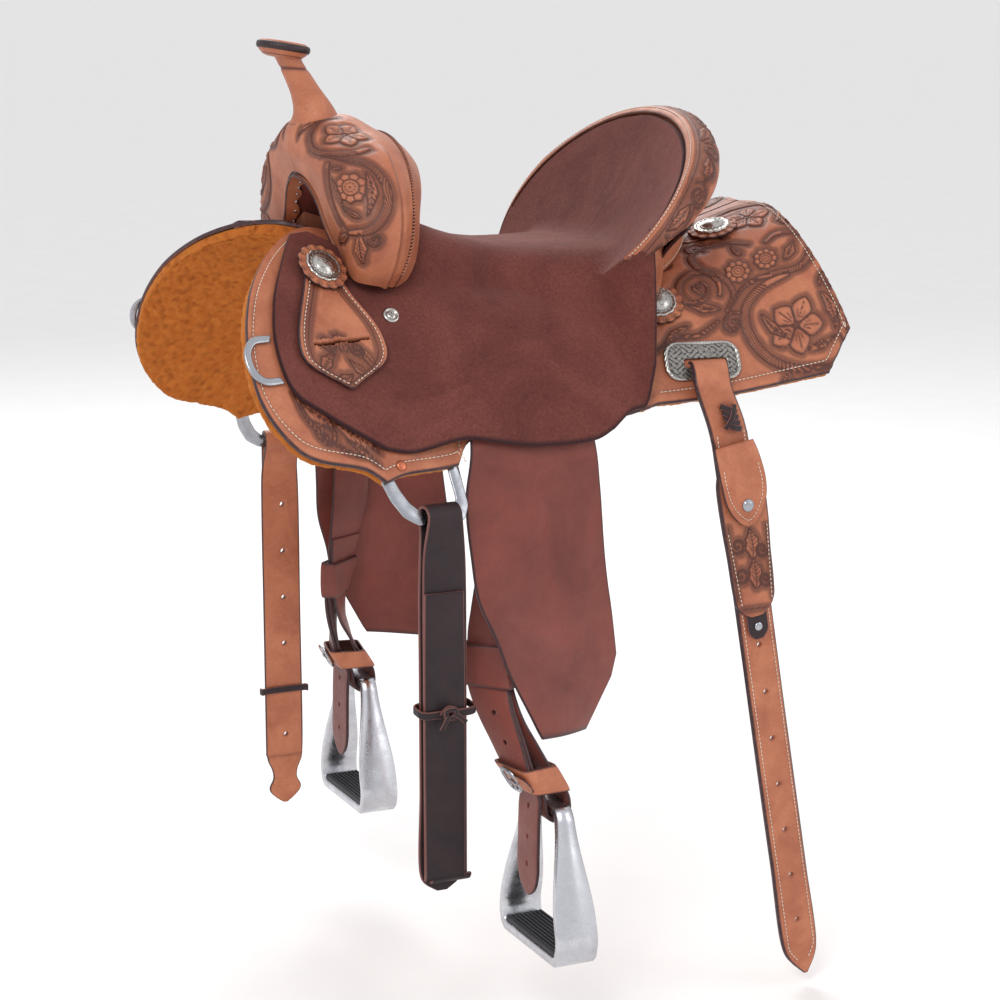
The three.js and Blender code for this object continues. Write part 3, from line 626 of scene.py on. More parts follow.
def rosette(tool, x, y, radius):
    """Round flower with a ring of short petals and a seeded centre."""
    turn = np.linspace(0, 2 * math.pi, 120, endpoint=False)
    edge = radius * (1 - 0.13 * abs(np.cos(4.5 * turn)))
    tool.outline(np.column_stack([x + edge * np.cos(turn), y + edge * np.sin(turn)]))
    tool.stroke(spiral(x, y, radius * 0.5, radius * 0.5, 0, 1), 0.8)
    for k in range(9):
        c, s = math.cos(2 * math.pi * k / 9), math.sin(2 * math.pi * k / 9)
        tool.stroke([(x + radius * t * c, y + radius * t * s) for t in (0.55, 0.86)], 0.7, 0.6)
        tool.dot(x + radius * 0.28 * c, y + radius * 0.28 * s, 0.9, 0.6)
    tool.dot(x, y, 1.0, 0.7)


def leaf(tool, x, y, angle, length, width, lobes=3, bend=0.0):
    """Lobed leaf from its stalk, with a midrib and veins; bend curves the midrib."""
    t = np.linspace(0, 1, 60)
    turn = math.radians(angle) + math.radians(bend) * t
    mid = np.cumsum(np.column_stack([np.cos(turn), np.sin(turn)]), axis=0) * length / len(t) + [x, y]
    side = np.column_stack([-np.sin(turn), np.cos(turn)])
    half = width * 0.5 * np.sin(math.pi * t ** 0.8) * (1 - 0.28 * abs(np.sin(math.pi * lobes * t)))
    tool.outline(np.vstack([mid + side * half[:, None], (mid - side * half[:, None])[::-1]]))
    tool.stroke(mid[4:52], 0.7, 0.5)
    for k in range(12, 48, 7):
        for s in (-1, 1):
            tool.stroke([mid[k], mid[min(k + 8, 59)] + side[k] * s * half[k] * 0.62], 0.5, 0.35)


# ---------------------------------------------------------------- materials
def rgb(red, green, blue):
    """Linear colour from 0-255 display values."""
    shares = [c / 255 for c in (red, green, blue)]
    return (*[c / 12.92 if c < 0.0404 else ((c + 0.055) / 1.055) ** 2.4 for c in shares], 1.0)


class Graph:
    """Small helper around a material's node tree."""

    def __init__(self, name):
        self.material = bpy.data.materials.new(name)
        self.material.use_nodes = True
        self.tree = self.material.node_tree
        self.shader = self.tree.nodes["Principled BSDF"]
        self.place = self.node("ShaderNodeTexCoord").outputs["Object"]

    def node(self, kind, inputs=None, **settings):
        made = self.tree.nodes.new(kind)
        for key, value in settings.items():
            setattr(made, key, value)
        for key, value in (inputs or {}).items():
            self.feed(made.inputs[key], value)
        return made

    def feed(self, socket, value):
        if isinstance(value, bpy.types.NodeSocket):
            self.tree.links.new(value, socket)
        else:
            socket.default_value = value

    def set(self, **inputs):
        for key, value in inputs.items():
            self.feed(self.shader.inputs[key.replace("_", " ")], value)

    def noise(self, scale, detail=4.0, rough=0.6, distortion=0.0, place=None):
        inputs = {"Vector": place or self.place, "Scale": scale, "Detail": detail}
        inputs |= {"Roughness": rough, "Distortion": distortion}
        return self.node("ShaderNodeTexNoise", inputs).outputs["Fac"]

    def cells(self, scale, feature="F1"):
        inputs = {"Vector": self.place, "Scale": scale}
        return self.node("ShaderNodeTexVoronoi", inputs, feature=feature).outputs["Distance"]

    def stretched(self, x, y, z):
        return self.node("ShaderNodeMapping", {"Vector": self.place,
                                               "Scale": (x, y, z)}).outputs["Vector"]

    def value(self, name):
        return self.node("ShaderNodeAttribute", attribute_name=name).outputs["Fac"]

    def span(self, value, low, high, to_low=0.0, to_high=1.0):
        inputs = {"Value": value, "From Min": low, "From Max": high, "To Min": to_low, "To Max": to_high}
        return self.node("ShaderNodeMapRange", inputs).outputs["Result"]

    def maths(self, operation, a, b):
        return self.node("ShaderNodeMath", {0: a, 1: b}, operation=operation, use_clamp=False).outputs[0]

    def mix(self, factor, a, b, blend="MIX"):
        made = self.node("ShaderNodeMix", data_type="RGBA", blend_type=blend)
        for key, value in ((0, factor), (6, a), (7, b)):
            self.feed(made.inputs[key], value)
        return made.outputs[2]

    def bump(self, height, strength, distance, below=None):
        inputs = {"Height": height, "Strength": strength, "Distance": distance}
        if below is not None:
            inputs["Normal"] = below
        return self.node("ShaderNodeBump", inputs).outputs["Normal"]


def leather(name, light, mid, deep, rim, rough=(0.42, 0.62), grain=0.35, mottle=22.0, coat=0.06,
            sheen=0.0):
    """Smooth finished leather: mottled colour, fine pores, antiqued grooves and burnished edges."""
    g = Graph(name)
    clouds = g.span(g.noise(mottle, 5, 0.62, 0.4), 0.36, 0.66)
    specks = g.span(g.noise(420, 5, 0.7), 0.35, 0.7)
    colour = g.mix(clouds, light, mid)
    colour = g.mix(g.maths("MULTIPLY", specks, 0.22), colour, deep)
    dark = g.value("dark")
    colour = g.mix(g.maths("MINIMUM", g.maths("MULTIPLY", dark, 1.05), 0.94), colour, deep)
    edge = g.value("edge")
    worn = g.maths("MULTIPLY", edge, g.span(g.noise(160, 4, 0.7), 0.25, 0.5, 0.72, 1.0))
    colour = g.mix(worn, colour, rim)
    pores = g.bump(g.cells(1150), grain, 0.00035)
    pores = g.bump(g.noise(95, 6, 0.65), 0.22, 0.0016, pores)
    roughness = g.span(g.noise(60, 6, 0.7), 0.3, 0.7, rough[0], rough[1])
    g.set(Base_Color=colour, Normal=pores, Coat_Weight=coat, Coat_Roughness=0.35, Sheen_Weight=sheen)
    g.set(Roughness=g.maths("SUBTRACT", roughness, g.maths("MULTIPLY", edge, 0.1)),
          Specular_IOR_Level=0.42)
    return g.material


def suede(name, light, mid, deep, rim):
    """Rough-out leather: nap lying in patches, speckled, with a soft sheen."""
    g = Graph(name)
    patches = g.span(g.noise(11, 5, 0.66, 0.8), 0.34, 0.68)
    nap = g.span(g.noise(330, 8, 0.78), 0.36, 0.68)
    specks = g.span(g.noise(900, 4, 0.8), 0.48, 0.66)
    colour = g.mix(patches, mid, light)
    colour = g.mix(g.maths("MULTIPLY", nap, 0.5), colour, deep)
    colour = g.mix(g.maths("MULTIPLY", specks, 0.16), colour, light)
    colour = g.mix(g.maths("MULTIPLY", g.value("dark"), 0.85), colour, deep)
    colour = g.mix(g.value("edge"), colour, rim)
    normal = g.bump(g.noise(720, 8, 0.8), 0.55, 0.0007)
    normal = g.bump(g.noise(48, 5, 0.6), 0.2, 0.002, normal)
    g.set(Base_Color=colour, Roughness=g.span(nap, 0, 1, 0.72, 0.92), Normal=normal)
    g.set(Sheen_Weight=0.22, Sheen_Roughness=0.5, Sheen_Tint=rgb(205, 140, 130), Specular_IOR_Level=0.3)
    return g.material


def wool(name, light, mid, deep):
    g = Graph(name)
    clumps = g.span(g.noise(130, 6, 0.72, 0.6), 0.34, 0.66)
    fibres = g.span(g.noise(700, 6, 0.75, 1.5), 0.3, 0.7)
    colour = g.mix(clumps, mid, light)
    colour = g.mix(g.maths("MULTIPLY", fibres, 0.4), colour, deep)
    # painted shade: the dark attribute darkens the recesses between the clumps towards the deep colour
    colour = g.mix(g.maths("MULTIPLY", g.value("dark"), 0.8), colour, deep)
    normal = g.bump(g.noise(800, 8, 0.8, 1.2), 0.8, 0.0012)
    g.set(Base_Color=colour, Roughness=0.95, Normal=normal, Sheen_Weight=0.6)
    g.set(Sheen_Roughness=0.4, Sheen_Tint=rgb(240, 170, 90), Specular_IOR_Level=0.15)
    return g.material


def metal(name, colour, tarnish_and_shade, rough=(0.16, 0.34), streak=(30, 30, 900), scratch=0.12):
    """Brushed metal with darkened recesses, fine scratches and uneven polish."""
    g = Graph(name)
    lines = g.noise(60, 6, 0.7, 0.0, g.stretched(*(s / 60 for s in streak)))
    smear = g.span(g.noise(45, 5, 0.7, 0.5), 0.35, 0.7)
    shade = g.mix(g.maths("MULTIPLY", smear, 0.3), colour, tarnish_and_shade)
    # the dark attribute mixes towards the tarnish colour: real tarnish in engraved lines, and painted shade
    # in the seat screw's cross recess
    shade = g.mix(g.maths("MULTIPLY", g.value("dark"), 0.92), shade, tarnish_and_shade)
    scuffs = g.span(g.noise(240, 8, 0.75, 2.0), 0.5, 0.62)
    roughness = g.maths("ADD", g.span(smear, 0, 1, rough[0], rough[1]), g.maths("MULTIPLY", scuffs, 0.12))
    normal = g.bump(lines, scratch, 0.0002)
    roughness = g.maths("ADD", roughness, g.maths("MULTIPLY", g.value("dark"), 0.3))
    g.set(Base_Color=shade, Metallic=1.0, Roughness=roughness, Normal=normal)
    return g.material


def rubber_material(name):
    g = Graph(name)
    dust = g.span(g.noise(70, 6, 0.7), 0.4, 0.75)
    worn = g.maths("MULTIPLY", g.maths("SUBTRACT", 1.0, g.value("dark")), 0.22)
    colour = g.mix(g.maths("MULTIPLY", dust, worn), rgb(22, 23, 26), rgb(120, 122, 128))
    normal = g.bump(g.noise(1500, 5, 0.7), 0.3, 0.0003)
    g.set(Base_Color=colour, Roughness=g.span(dust, 0, 1, 0.5, 0.75), Normal=normal)
    return g.material


def thread_material(name):
    g = Graph(name)
    twist = g.span(g.noise(1400, 3, 0.6), 0.3, 0.7)
    soiled = g.span(g.noise(35, 4, 0.6), 0.35, 0.7)
    colour = g.mix(g.maths("MULTIPLY", soiled, 0.5), rgb(232, 221, 205), rgb(196, 172, 150))
    colour = g.mix(g.maths("MULTIPLY", twist, 0.3), colour, rgb(150, 120, 100))
    g.set(Base_Color=colour, Roughness=0.7, Normal=g.bump(twist, 0.5, 0.0003), Sheen_Weight=0.2)
    return g.material


def rawhide_material(name):
    g = Graph(name)
    stain = g.span(g.noise(28, 6, 0.7, 1.2), 0.35, 0.7)
    colour = g.mix(stain, rgb(122, 72, 48), rgb(92, 48, 32))
    normal = g.bump(g.noise(160, 7, 0.7), 0.4, 0.001)
    g.set(Base_Color=colour, Roughness=g.span(stain, 0, 1, 0.4, 0.6), Normal=normal,
          Subsurface_Weight=0.05)
    return g.material


def floor_material(name):
    g = Graph(name)
    colour = g.mix(g.noise(9, 4, 0.5), rgb(244, 243, 241), rgb(238, 237, 235))
    g.set(Base_Color=colour, Roughness=0.85, Normal=g.bump(g.noise(400, 3), 0.05, 0.0003))
    return g.material


BURNISH = rgb(50, 26, 32)
TAN = leather("tan leather", rgb(188, 116, 82), rgb(160, 90, 62), rgb(70, 30, 20), BURNISH)
HORN_BAND = leather("horn binding", rgb(56, 34, 38), rgb(42, 24, 28), rgb(20, 10, 12), BURNISH,
                    (0.35, 0.5))
ROUGHOUT = suede("rough-out leather", rgb(116, 60, 51), rgb(88, 40, 34), rgb(52, 19, 17), rgb(44, 18, 22))
FENDER = leather("fender leather", rgb(126, 58, 46), rgb(98, 40, 31), rgb(56, 19, 16), rgb(50, 20, 24),
                 (0.45, 0.66), 0.3, 9.0, 0.04, 0.1)
LATIGO = leather("latigo leather", rgb(42, 21, 25), rgb(28, 13, 18), rgb(14, 6, 8), rgb(112, 66, 60),
                 (0.5, 0.68), 0.25, 14.0, 0.05)
WOOL = wool("wool lining", rgb(206, 124, 54), rgb(184, 98, 38), rgb(118, 52, 18))
STEEL = metal("stainless steel", rgb(176, 178, 184), rgb(70, 70, 76), (0.18, 0.34))
SILVER = metal("engraved silver", rgb(196, 192, 186), rgb(34, 31, 31), (0.16, 0.3), (80, 80, 80), 0.05)
ALUMINIUM = metal("brushed aluminium", rgb(206, 207, 212), rgb(120, 118, 126), (0.2, 0.38),
                  (20, 20, 1600), 0.2)
COPPER = metal("copper rivet", rgb(206, 122, 92), rgb(96, 48, 34), (0.2, 0.36))
RUBBER = rubber_material("black rubber")
THREAD = thread_material("waxed thread")
RAWHIDE = rawhide_material("rawhide")


# ---------------------------------------------------------------- skirts and fleece
SKIRT_INNER = [(-242, -50), (-225, -38), (-150, -20), (-60, -4), (60, -2), (180, -2), (288, -2)]
SKIRT_RUNS = [
    [(-266, -72), (-304, -112), (-329, -145), (-341, -175), (-338, -201), (-308, -219), (-238, -219),
     (-221, -222)],
    [(-221, -222), (-195, -215), (-140, -208)],
    [(-140, -208), (-126, -198), (-60, -194), (30, -190), (90, -189)],
    [(90, -189), (160, -196), (281, -205)],
    [(281, -205), (314, -190)],
    [(314, -190), (298, -136), (293, -86), (294, -47), (288, -8)],
]


def draped_grid(inner, outer, columns):
    """Plan grid of rays from an inner curve to an outer outline."""
    lengths = np.concatenate([[0], np.cumsum(np.linalg.norm(np.diff(outer[:, :2], axis=0), axis=1))])
    track = curve(inner, 1.0)
    share = np.linspace(0, 1, len(track))
    at = lengths / lengths[-1]
    start = np.stack([np.interp(at, share, track[:, k]) for k in range(2)], axis=1)
    t = np.linspace(0, 1, columns)[None, :, None]
    plan = start[:, None, :] + (outer[:, None, :2] - start[:, None, :]) * t
    return plan[..., 0], plan[..., 1]


def fall_length(y, ref):
    """Distance down the skirt from its ridge line, at a reference x."""
    table = np.linspace(0, 240, 480)
    z = skirt_z(ref, table)
    along = np.concatenate([[0], np.cumsum(np.hypot(np.diff(table), np.diff(z)))])
    return np.interp(abs(y), table, along)


def skirt_pattern():
    """Floral carving of the rear skirt panel and the leaves at the front, on (x, fall) axes."""
    tool = Tooling()
    flower(tool, 256, 221, 32, 18)
    stem(tool, [(322, 274), (292, 277), (254, 268), (222, 247), (204, 214), (206, 184), (230, 167),
                (266, 163)], 5, 13, 3)
    stem(tool, [(190, 176), (214, 158), (246, 156), (282, 160), (301, 142), (296, 120), (272, 110),
                (256, 116)], 5, 9, 2)
    leaf(tool, 306, 266, -75, 56, 20, 3, -18)
    leaf(tool, 292, 196, 62, 46, 13, 2, 40)
    leaf(tool, 222, 194, 74, 44, 11, 2, -30)
    leaf(tool, 240, 266, 150, 24, 11, 1, -40)
    leaf(tool, 262, 250, 10, 36, 9, 2, -30)
    scroll(tool, 306, 188, 12, 5, 170, 1.1, 6)
    scroll(tool, 190, 192, 12, 4, 330, -1.1, 6)
    rosette(tool, 214, 138, 15)
    rosette(tool, 248, 136, 14)
    leaf(tool, 266, 146, -30, 28, 13, 2, -30)
    leaf(tool, 226, 120, -110, 20, 11, 1, 20)
    stem(tool, [(186, 178), (200, 162), (196, 138), (178, 118), (176, 96), (194, 88), (222, 96),
                (240, 110)], 8, 5, 2)
    scroll(tool, 164, 140, 27, 10, 40, -1.25, 9)
    leaf(tool, 160, 134, 40, 22, 11, 1, 50)
    leaf(tool, 182, 172, 200, 40, 12, 2, 20)
    leaf(tool, 142, 176, 170, 38, 12, 2, -20)
    stem(tool, [(176, 184), (150, 190), (124, 184), (100, 190)], 6, 3, 1)
    flower(tool, 262, 64, 25, 10)
    stem(tool, [(222, 88), (216, 60), (230, 34), (262, 26), (288, 40), (296, 70), (284, 92)], 5, 9, 2)
    leaf(tool, 284, 94, 30, 26, 12, 1, -60)
    scroll(tool, 300, 104, 9, 3, 200, 1.1, 5)
    leaf(tool, 206, 70, 200, 34, 14, 2, 20)
    leaf(tool, 196, 44, 190, 34, 13, 2, -20)
    scroll(tool, 186, 84, 12, 4, 60, -1.2, 5)
    leaf(tool, 150, 96, 215, 32, 13, 2, 20)
    leaf(tool, -300, 280, 20, 40, 20, 3, 16)
    scroll(tool, -276, 303, 11, 4, 180, -1.2, 5)
    leaf(tool, -266, 292, 10, 46, 20, 3, 20)
    stem(tool, [(-302, 272), (-292, 296), (-262, 314), (-240, 316)], 5, 3, 1)
    leaf(tool, -256, 304, 20, 34, 9, 2, 16)
    return tool


def build_skirts():
    steps = [1.5, 4.0, 5.0, 1.15, 1.15, 1.15]
    outer = trace([(points, step) for points, step in zip(SKIRT_RUNS, steps)])
    x, y = draped_grid(SKIRT_INNER, outer, 205)
    front, rear = x < -150, x > 90
    fall = np.where(front, fall_length(y, -270), fall_length(y, 200))
    tool = skirt_pattern()
    height, dark = tool.sample(np.where(front | rear, x, 1e4), fall)
    groove = edge_distance(x, y, outer, 7.0)
    height -= 0.5 * np.exp(-(groove / 1.2) ** 2)
    dark = np.maximum(dark, 0.25 * np.exp(-(groove / 1.6) ** 2))
    top = on_face(skirt_z, x, y, height)
    under = on_face(skirt_z, x, y, -LEATHER)
    pair(sheet(top, under, dark, "lip"), "skirt_leather", TAN, node="skirt")
    build_skirt_seam()


def edge_distance(x, y, outer, inset):
    """How far each plan point is from a line a given distance inside the outline."""
    tree = kdtree.KDTree(len(outer))
    for k, (a, b) in enumerate(outer[:, :2]):
        tree.insert((a, b, 0), k)
    tree.balance()
    rim = np.full(x.shape, 99.0)
    for i in range(x.shape[0]):
        near = np.hypot(x[i] - outer[i, 0], y[i] - outer[i, 1]) < inset + 9
        for j in np.nonzero(near)[0]:
            rim[i, j] = tree.find((x[i, j], y[i, j], 0))[2]
    return abs(rim - inset * 0.72)


def seam_path(outer, inset, face, lift):
    """A line just inside a plan outline, with its surface normals."""
    side = unit(np.gradient(outer[:, :2], axis=0))
    inward = np.column_stack([side[:, 1], -side[:, 0]])
    middle = outer[:, :2].mean(axis=0) * [1, 0.5]
    flip = np.sum(inward * (middle - outer[:, :2]), axis=1) < 0
    inward[flip] *= -1
    plan = outer[:, :2] + inward * inset
    return on_face(face, plan[:, 0], plan[:, 1], lift), normal_of(face, plan[:, 0], plan[:, 1])


def build_skirt_seam():
    """White lockstitching that follows each skirt's free edge."""
    corners = trace([(points, 2.0) for points in SKIRT_RUNS])
    path, normals = seam_path(corners, 5.0, skirt_z, 0.1)
    hidden = (corners[:, 0] > -128) & (corners[:, 0] < 92) & (corners[:, 1] < -150)
    start, stop = np.nonzero(hidden)[0][[0, -1]]
    shape = stitches(path[:start], normals[:start]).join(stitches(path[stop:], normals[stop:]))
    pair(shape, "skirt_stitching", THREAD)


def value_noise(points, size, seed=0.0):
    """Smooth noise in -1..1 at each point, with features of about the given size in mm."""
    flat = points.reshape(-1, 3) / size
    found = [noise.noise(Vector((a + seed, b - seed, c + 2 * seed))) for a, b, c in flat]
    return np.array(found).reshape(points.shape[:-1])


def build_fleece():
    outer = trace([(points, 2.6) for points in SKIRT_RUNS])
    centre = np.array([0.0, -60.0])
    pulled = outer.copy()
    pulled[:, :2] += unit(centre - outer[:, :2]) * 2.0
    x, y = draped_grid(SKIRT_INNER, pulled, 84)
    top = on_face(skirt_z, x, y, -LEATHER - 0.6)
    under = on_face(skirt_z, x, y, -LEATHER - FLEECE + 1.0)
    down = -normal_of(skirt_z, x, y)
    clumps = 1.7 * value_noise(under, 9.0) + 1.3 * value_noise(under, 4.0, 5.0)
    clumps = clumps + value_noise(under, 26.0, 9.0)
    under = under + down * clumps[..., None]
    shape = sheet(top, under)
    points = np.vstack(shape.points)
    fuzz = value_noise(points, 5.0, 3.0)[:, None] * 1.2
    count = top.shape[0] * top.shape[1]
    points[count:] += unit(points[count:] - points[:count].mean(axis=0)) * fuzz[count:]
    shape.points = [points]
    # painted shade: wool pushed inwards by the fuzz is darkened, standing in for shade in the recesses
    shape.dark = [np.concatenate([np.zeros(count), np.clip(-fuzz[count:, 0], 0, 1)])]
    shape.edge = [np.zeros(len(points))]
    pair(shape, "fleece_lining", WOOL, node="fleece")


# ---------------------------------------------------------------- swell, fork and gullet
SWELL_PROFILE = [(0, 0), (-0.05, 0.45), (0, 0.85), (0.2, 1), (0.45, 0.97), (0.7, 0.72), (0.9, 0.3),
                 (1, -0.15)]


def swell_point(angle, along, radial, clear=True):
    """Point of the swell at an arch angle; along 0 front to 1 rear, radial 0 gullet to 1 outside."""
    turn = abs(angle) / SWELL["end"]
    front = -228 + 18 * turn
    rear = -94 - 54 * turn ** 1.5
    flare = 1 + 0.75 * smooth(0.5, 1, turn)
    y0 = -GULLET["half"] * flare * np.sin(angle)
    z0 = GULLET["middle"] + GULLET["height"] * np.cos(angle)
    y1 = -SWELL["half"] * np.sin(angle)
    z1 = SWELL["middle"] + SWELL["height"] * np.cos(angle)
    x = lerp(front, rear, along)
    y, z = lerp(y0, y1, radial), lerp(z0, z1, radial)
    if clear:
        z = np.maximum(z, seat_z(x, y) + 2.2 + 6 * (1 - turn))
    return np.stack([x, y, z], axis=-1)


def swell_reach(share):
    """How far down the arch the cover reaches, for a share of the way from front to rear."""
    low = 0.66
    fall = np.where(share < low, 0.17 * ((low - share) / low) ** 2,
                    0.16 * ((share - low) / (1 - low)) ** 2)
    return SWELL["end"] * (1 - fall)


SEAM_SHARE = 0.635  # where the rear panel of the swell cover is laced on
RIB_SHARE = 0.51  # crest of the raised rib ahead of it


def swell_pattern():
    """Scroll carving ahead of the rib, in mm from the rib and down from the top, on both sides."""
    tool = Tooling()
    part = Tooling()
    leaf(part, -46, 34, 205, 30, 12, 2, -20)
    flower(part, -30, 68, 24, 20)
    stem(part, [(-24, 30), (-46, 34), (-64, 52), (-68, 76), (-56, 96), (-34, 104), (-14, 98)], 5, 11, 3)
    stem(part, [(-66, 92), (-44, 112), (-24, 124), (-12, 148), (-14, 176), (-30, 196), (-58, 200)], 6,
         12, 3)
    stem(part, [(-62, 108), (-78, 128), (-88, 156), (-82, 182), (-60, 202)], 10, 6, 2)
    rosette(part, -48, 150, 19)
    leaf(part, -28, 132, 80, 52, 13, 2, 34)
    leaf(part, -70, 130, 92, 48, 11, 2, -22)
    leaf(part, -50, 124, 200, 18, 9, 1, 30)
    leaf(part, -40, 184, 200, 30, 9, 1, 20)
    leaf(part, -58, 202, 165, 30, 13, 2, -30)
    leaf(part, -42, 200, 84, 36, 17, 2, -24)
    scroll(part, -25, 206, 7, 3, 180, -1.0, 4)
    for side in (1, -1):
        tool.add(part, [1, side])
    return tool


def build_swell():
    profile = curve(SWELL_PROFILE, 0.012)
    share = np.linspace(0, 1, 210)
    at = np.linspace(0, 1, len(profile))
    s = np.interp(share, at, profile[:, 0])
    r = np.interp(share, at, profile[:, 1])
    spread = np.linspace(-1, 1, 520)[:, None]
    angle = spread * swell_reach(share)[None, :]
    top = swell_point(angle, s[None, :], r[None, :])
    neck = np.hypot(top[..., 0] + 204, top[..., 1] * 0.9)
    top[..., 2] += 7.0 * smooth(62, 26, neck) * smooth(105, 135, top[..., 2])
    outward = grid_normals(top)
    if outward[260, 105, 2] < 0:
        outward = -outward
    rib, seam = (int(round(x * 209)) for x in (RIB_SHARE, SEAM_SHARE))
    u = np.cumsum(np.linalg.norm(np.diff(top, axis=1, prepend=top[:, :1]), axis=-1), axis=1)
    u -= u[:, rib:rib + 1]
    v = np.cumsum(np.linalg.norm(np.diff(top[:, rib], axis=0, prepend=top[:1, rib]), axis=-1))
    v = (v - v[260])[:, None] + 0 * u
    height, dark = swell_pattern().sample(u, v)
    low = smooth(84, 112, abs(v))
    height += 2.6 * low * np.exp(-(u / 4.2) ** 2) - 0.9 * low * np.exp(-((u - 7.5) / 2.2) ** 2)
    dark = np.maximum(dark, 0.5 * low * np.exp(-((u - 1.2) / 1.3) ** 2))
    laced = abs(u - u[:, seam:seam + 1])
    height -= 1.4 * np.exp(-(laced / 1.5) ** 2)
    dark = np.maximum(dark, 0.9 * np.exp(-(laced / 1.9) ** 2))
    height += 0.35 * value_noise(top, 30.0)
    cover = top + outward * height[..., None]
    under = top - outward * 4.0
    piece(sheet(cover, under, dark), "swell_leather", TAN, node="swell_cover")
    build_welt_lacing(top[:, seam], outward[:, seam])
    build_gullet()


def build_welt_lacing(path, outward):
    """Slanted lacing that joins the rear panel of the cover, over both shoulders."""
    shape = Shape()
    fine = even(path, 3.4)
    share, at = np.linspace(0, 1, len(fine)), np.linspace(0, 1, len(path))
    normals = unit(np.stack([np.interp(share, at, outward[:, k]) for k in range(3)], axis=1))
    along = unit(np.gradient(fine, axis=0))
    across = np.cross(along, normals)
    for k in range(6, len(fine) - 6):
        mid = fine[k] + normals[k] * 0.5
        reach = across[k] * 2.5 + along[k] * 1.5
        down = normals[k] * 0.7
        run = [mid - reach - down, mid + normals[k] * 0.5, mid + reach - down]
        shape.join(lace(run, 2.3, 1.3, step=1.2))
    piece(shape, "swell_lacing", TAN)


def build_gullet():
    """Dark lining inside the gullet, and the scalloped turned-in edge of the cover with its nails."""
    angle = np.linspace(-1.78, 1.78, 220)[:, None]
    share = np.linspace(0.015, 0.97, 40)[None, :]
    lining = swell_point(angle, share, -0.03 + 0 * share * angle, clear=False)
    inward = grid_normals(lining)
    if inward[110, 20, 2] > 0:
        inward = -inward
    lining = lining + inward * 1.0
    piece(sheet(lining, lining - inward * 2.6), "gullet_lining", FENDER, node="tree_fork")
    scallop = np.linspace(0, 1, 16)[None, :]
    depth = 0.10 + 0.05 * abs(np.sin(angle * 9.5))
    hem = swell_point(angle, -0.01 + scallop * depth, -0.035 + 0 * scallop * angle, clear=False)
    piece(sheet(hem + inward[:, :1] * 3.4, hem + inward[:, :1] * 1.2), "gullet_hem", TAN)
    nails = Shape()
    for k in range(-8, 9):
        a = k * math.pi / 19
        spot = swell_point(np.float64(a), np.float64(0.095), np.float64(-0.035), clear=False)
        row = int(round((a + 1.78) / 3.56 * 219))
        n = inward[row, 2]
        across = unit(np.cross([1, 0, 0], n))
        m = frame_of(across, np.cross(n, across), n, spot + n * 3.2)
        nails.join(turned([[1.8, 0], [1.7, 0.5], [1.1, 1.0], [0.4, 1.2]], m, 12))
    piece(nails, "gullet_nails", STEEL)


# ---------------------------------------------------------------- horn
NECK_ROWS = [(-204, 141.2, 25, 30, 0), (-207, 152, 20, 22, 0.1), (-214, 168, 16, 17, 0.1),
             (-224, 186, 14, 14.5, 0), (-232, 201, 13.5, 14, -0.15)]
CAP_TILT, CAP_PLACE = 0.17, (-238, 0, 213)
CAP_PROFILE = [(12, -10), (18, -9), (23.5, -5), (25.5, -2), (25.6, 1.2), (24.2, 4.4), (21.6, 6.2),
               (18.5, 5.9),
               (13, 4.8), (7, 4.2), (2, 4.0)]


def cap_frame():
    c, s = math.cos(CAP_TILT), math.sin(CAP_TILT)
    return frame_of((c, 0, -s), (0, 1, 0), (s, 0, c), CAP_PLACE)


def build_horn():
    rows = curve([(-202, 137.5, 29, 36, 0), *NECK_ROWS, (-234.5, 205.5, 14.5, 15, -0.15)], 1.2)
    turn = np.linspace(0, 2 * math.pi, 96, endpoint=False)
    a, b = np.cos(turn), np.sin(turn)
    rings, dark = [], []
    for k, (x, z, rx, ry, tilt) in enumerate(rows):
        seam = 0.9 * math.exp(-((k - 0.8 * len(rows)) / 1.6) ** 2)
        rx, ry = rx - seam, ry - seam
        rings.append(np.stack([x + a * rx, b * ry, z + a * tilt * rx], axis=-1))
        dark.append(seam + 0 * turn)
    rings = np.array(rings)
    rings += grid_normals(rings) * (value_noise(rings, 16.0) * 0.5)[..., None]
    shape = Shape()
    shape.tube(shape.add(rings, np.array(dark)))
    piece(shape, "horn_neck_wrap", TAN, node="horn_wrap")

    def rings_dark(radius, angle):
        lines = [np.exp(-((radius - r) / 0.7) ** 2) for r in (20.2, 15.5)]
        return 0.85 * np.clip(sum(lines), 0, 1) + 0 * angle

    fine = curve(CAP_PROFILE, 0.7)
    m = cap_frame()
    piece(turned(fine, m, 120, dark=rings_dark), "horn_cap_leather", TAN, node="horn_cap")
    build_horn_binding(m)


def build_horn_binding(m):
    """Dark leather binding round the cap, whipped at a slant."""
    turn = np.linspace(0, 2 * math.pi, 420, endpoint=False)[:, None]
    tube = np.linspace(0, 2 * math.pi, 18, endpoint=False)[None, :]
    ridge_height = 0.35 * np.abs(np.sin(27 * turn + tube * 1.5))
    r = 1 + 0 * tube
    out, up = (2.0 + ridge_height) * np.cos(tube) * r, (3.6 + ridge_height) * np.sin(tube) * r
    radius = 24.9 + out
    points = np.stack([radius * np.cos(turn), radius * np.sin(turn), 0.6 + up], axis=-1)
    shape = Shape()
    # painted shade: the gaps between the whipped wraps, where the ridge is low, are painted dark
    index = shape.add(points, np.clip(1 - ridge_height / 0.2, 0, 1))
    shape.grid(index, wrap_rows=True, wrap_cols=True)
    piece(shape.moved(m), "horn_binding", HORN_BAND)


# ---------------------------------------------------------------- seat, cantle
SEAT_INNER = [(-240, -66), (-190, -74), (-140, -64), (-105, -32), (-92, 0), (-40, 0), (30, 0), (90, 0),
              (140, 0), (172, 0)]


def rim_point(angle, scale=1.0):
    x = RIM["x"] + scale * RIM["along"] * np.cos(angle)
    return np.stack([x, scale * RIM["across"] * np.sin(angle), RIM["z"] + RIM["up"] * np.cos(angle)],
                    axis=-1)


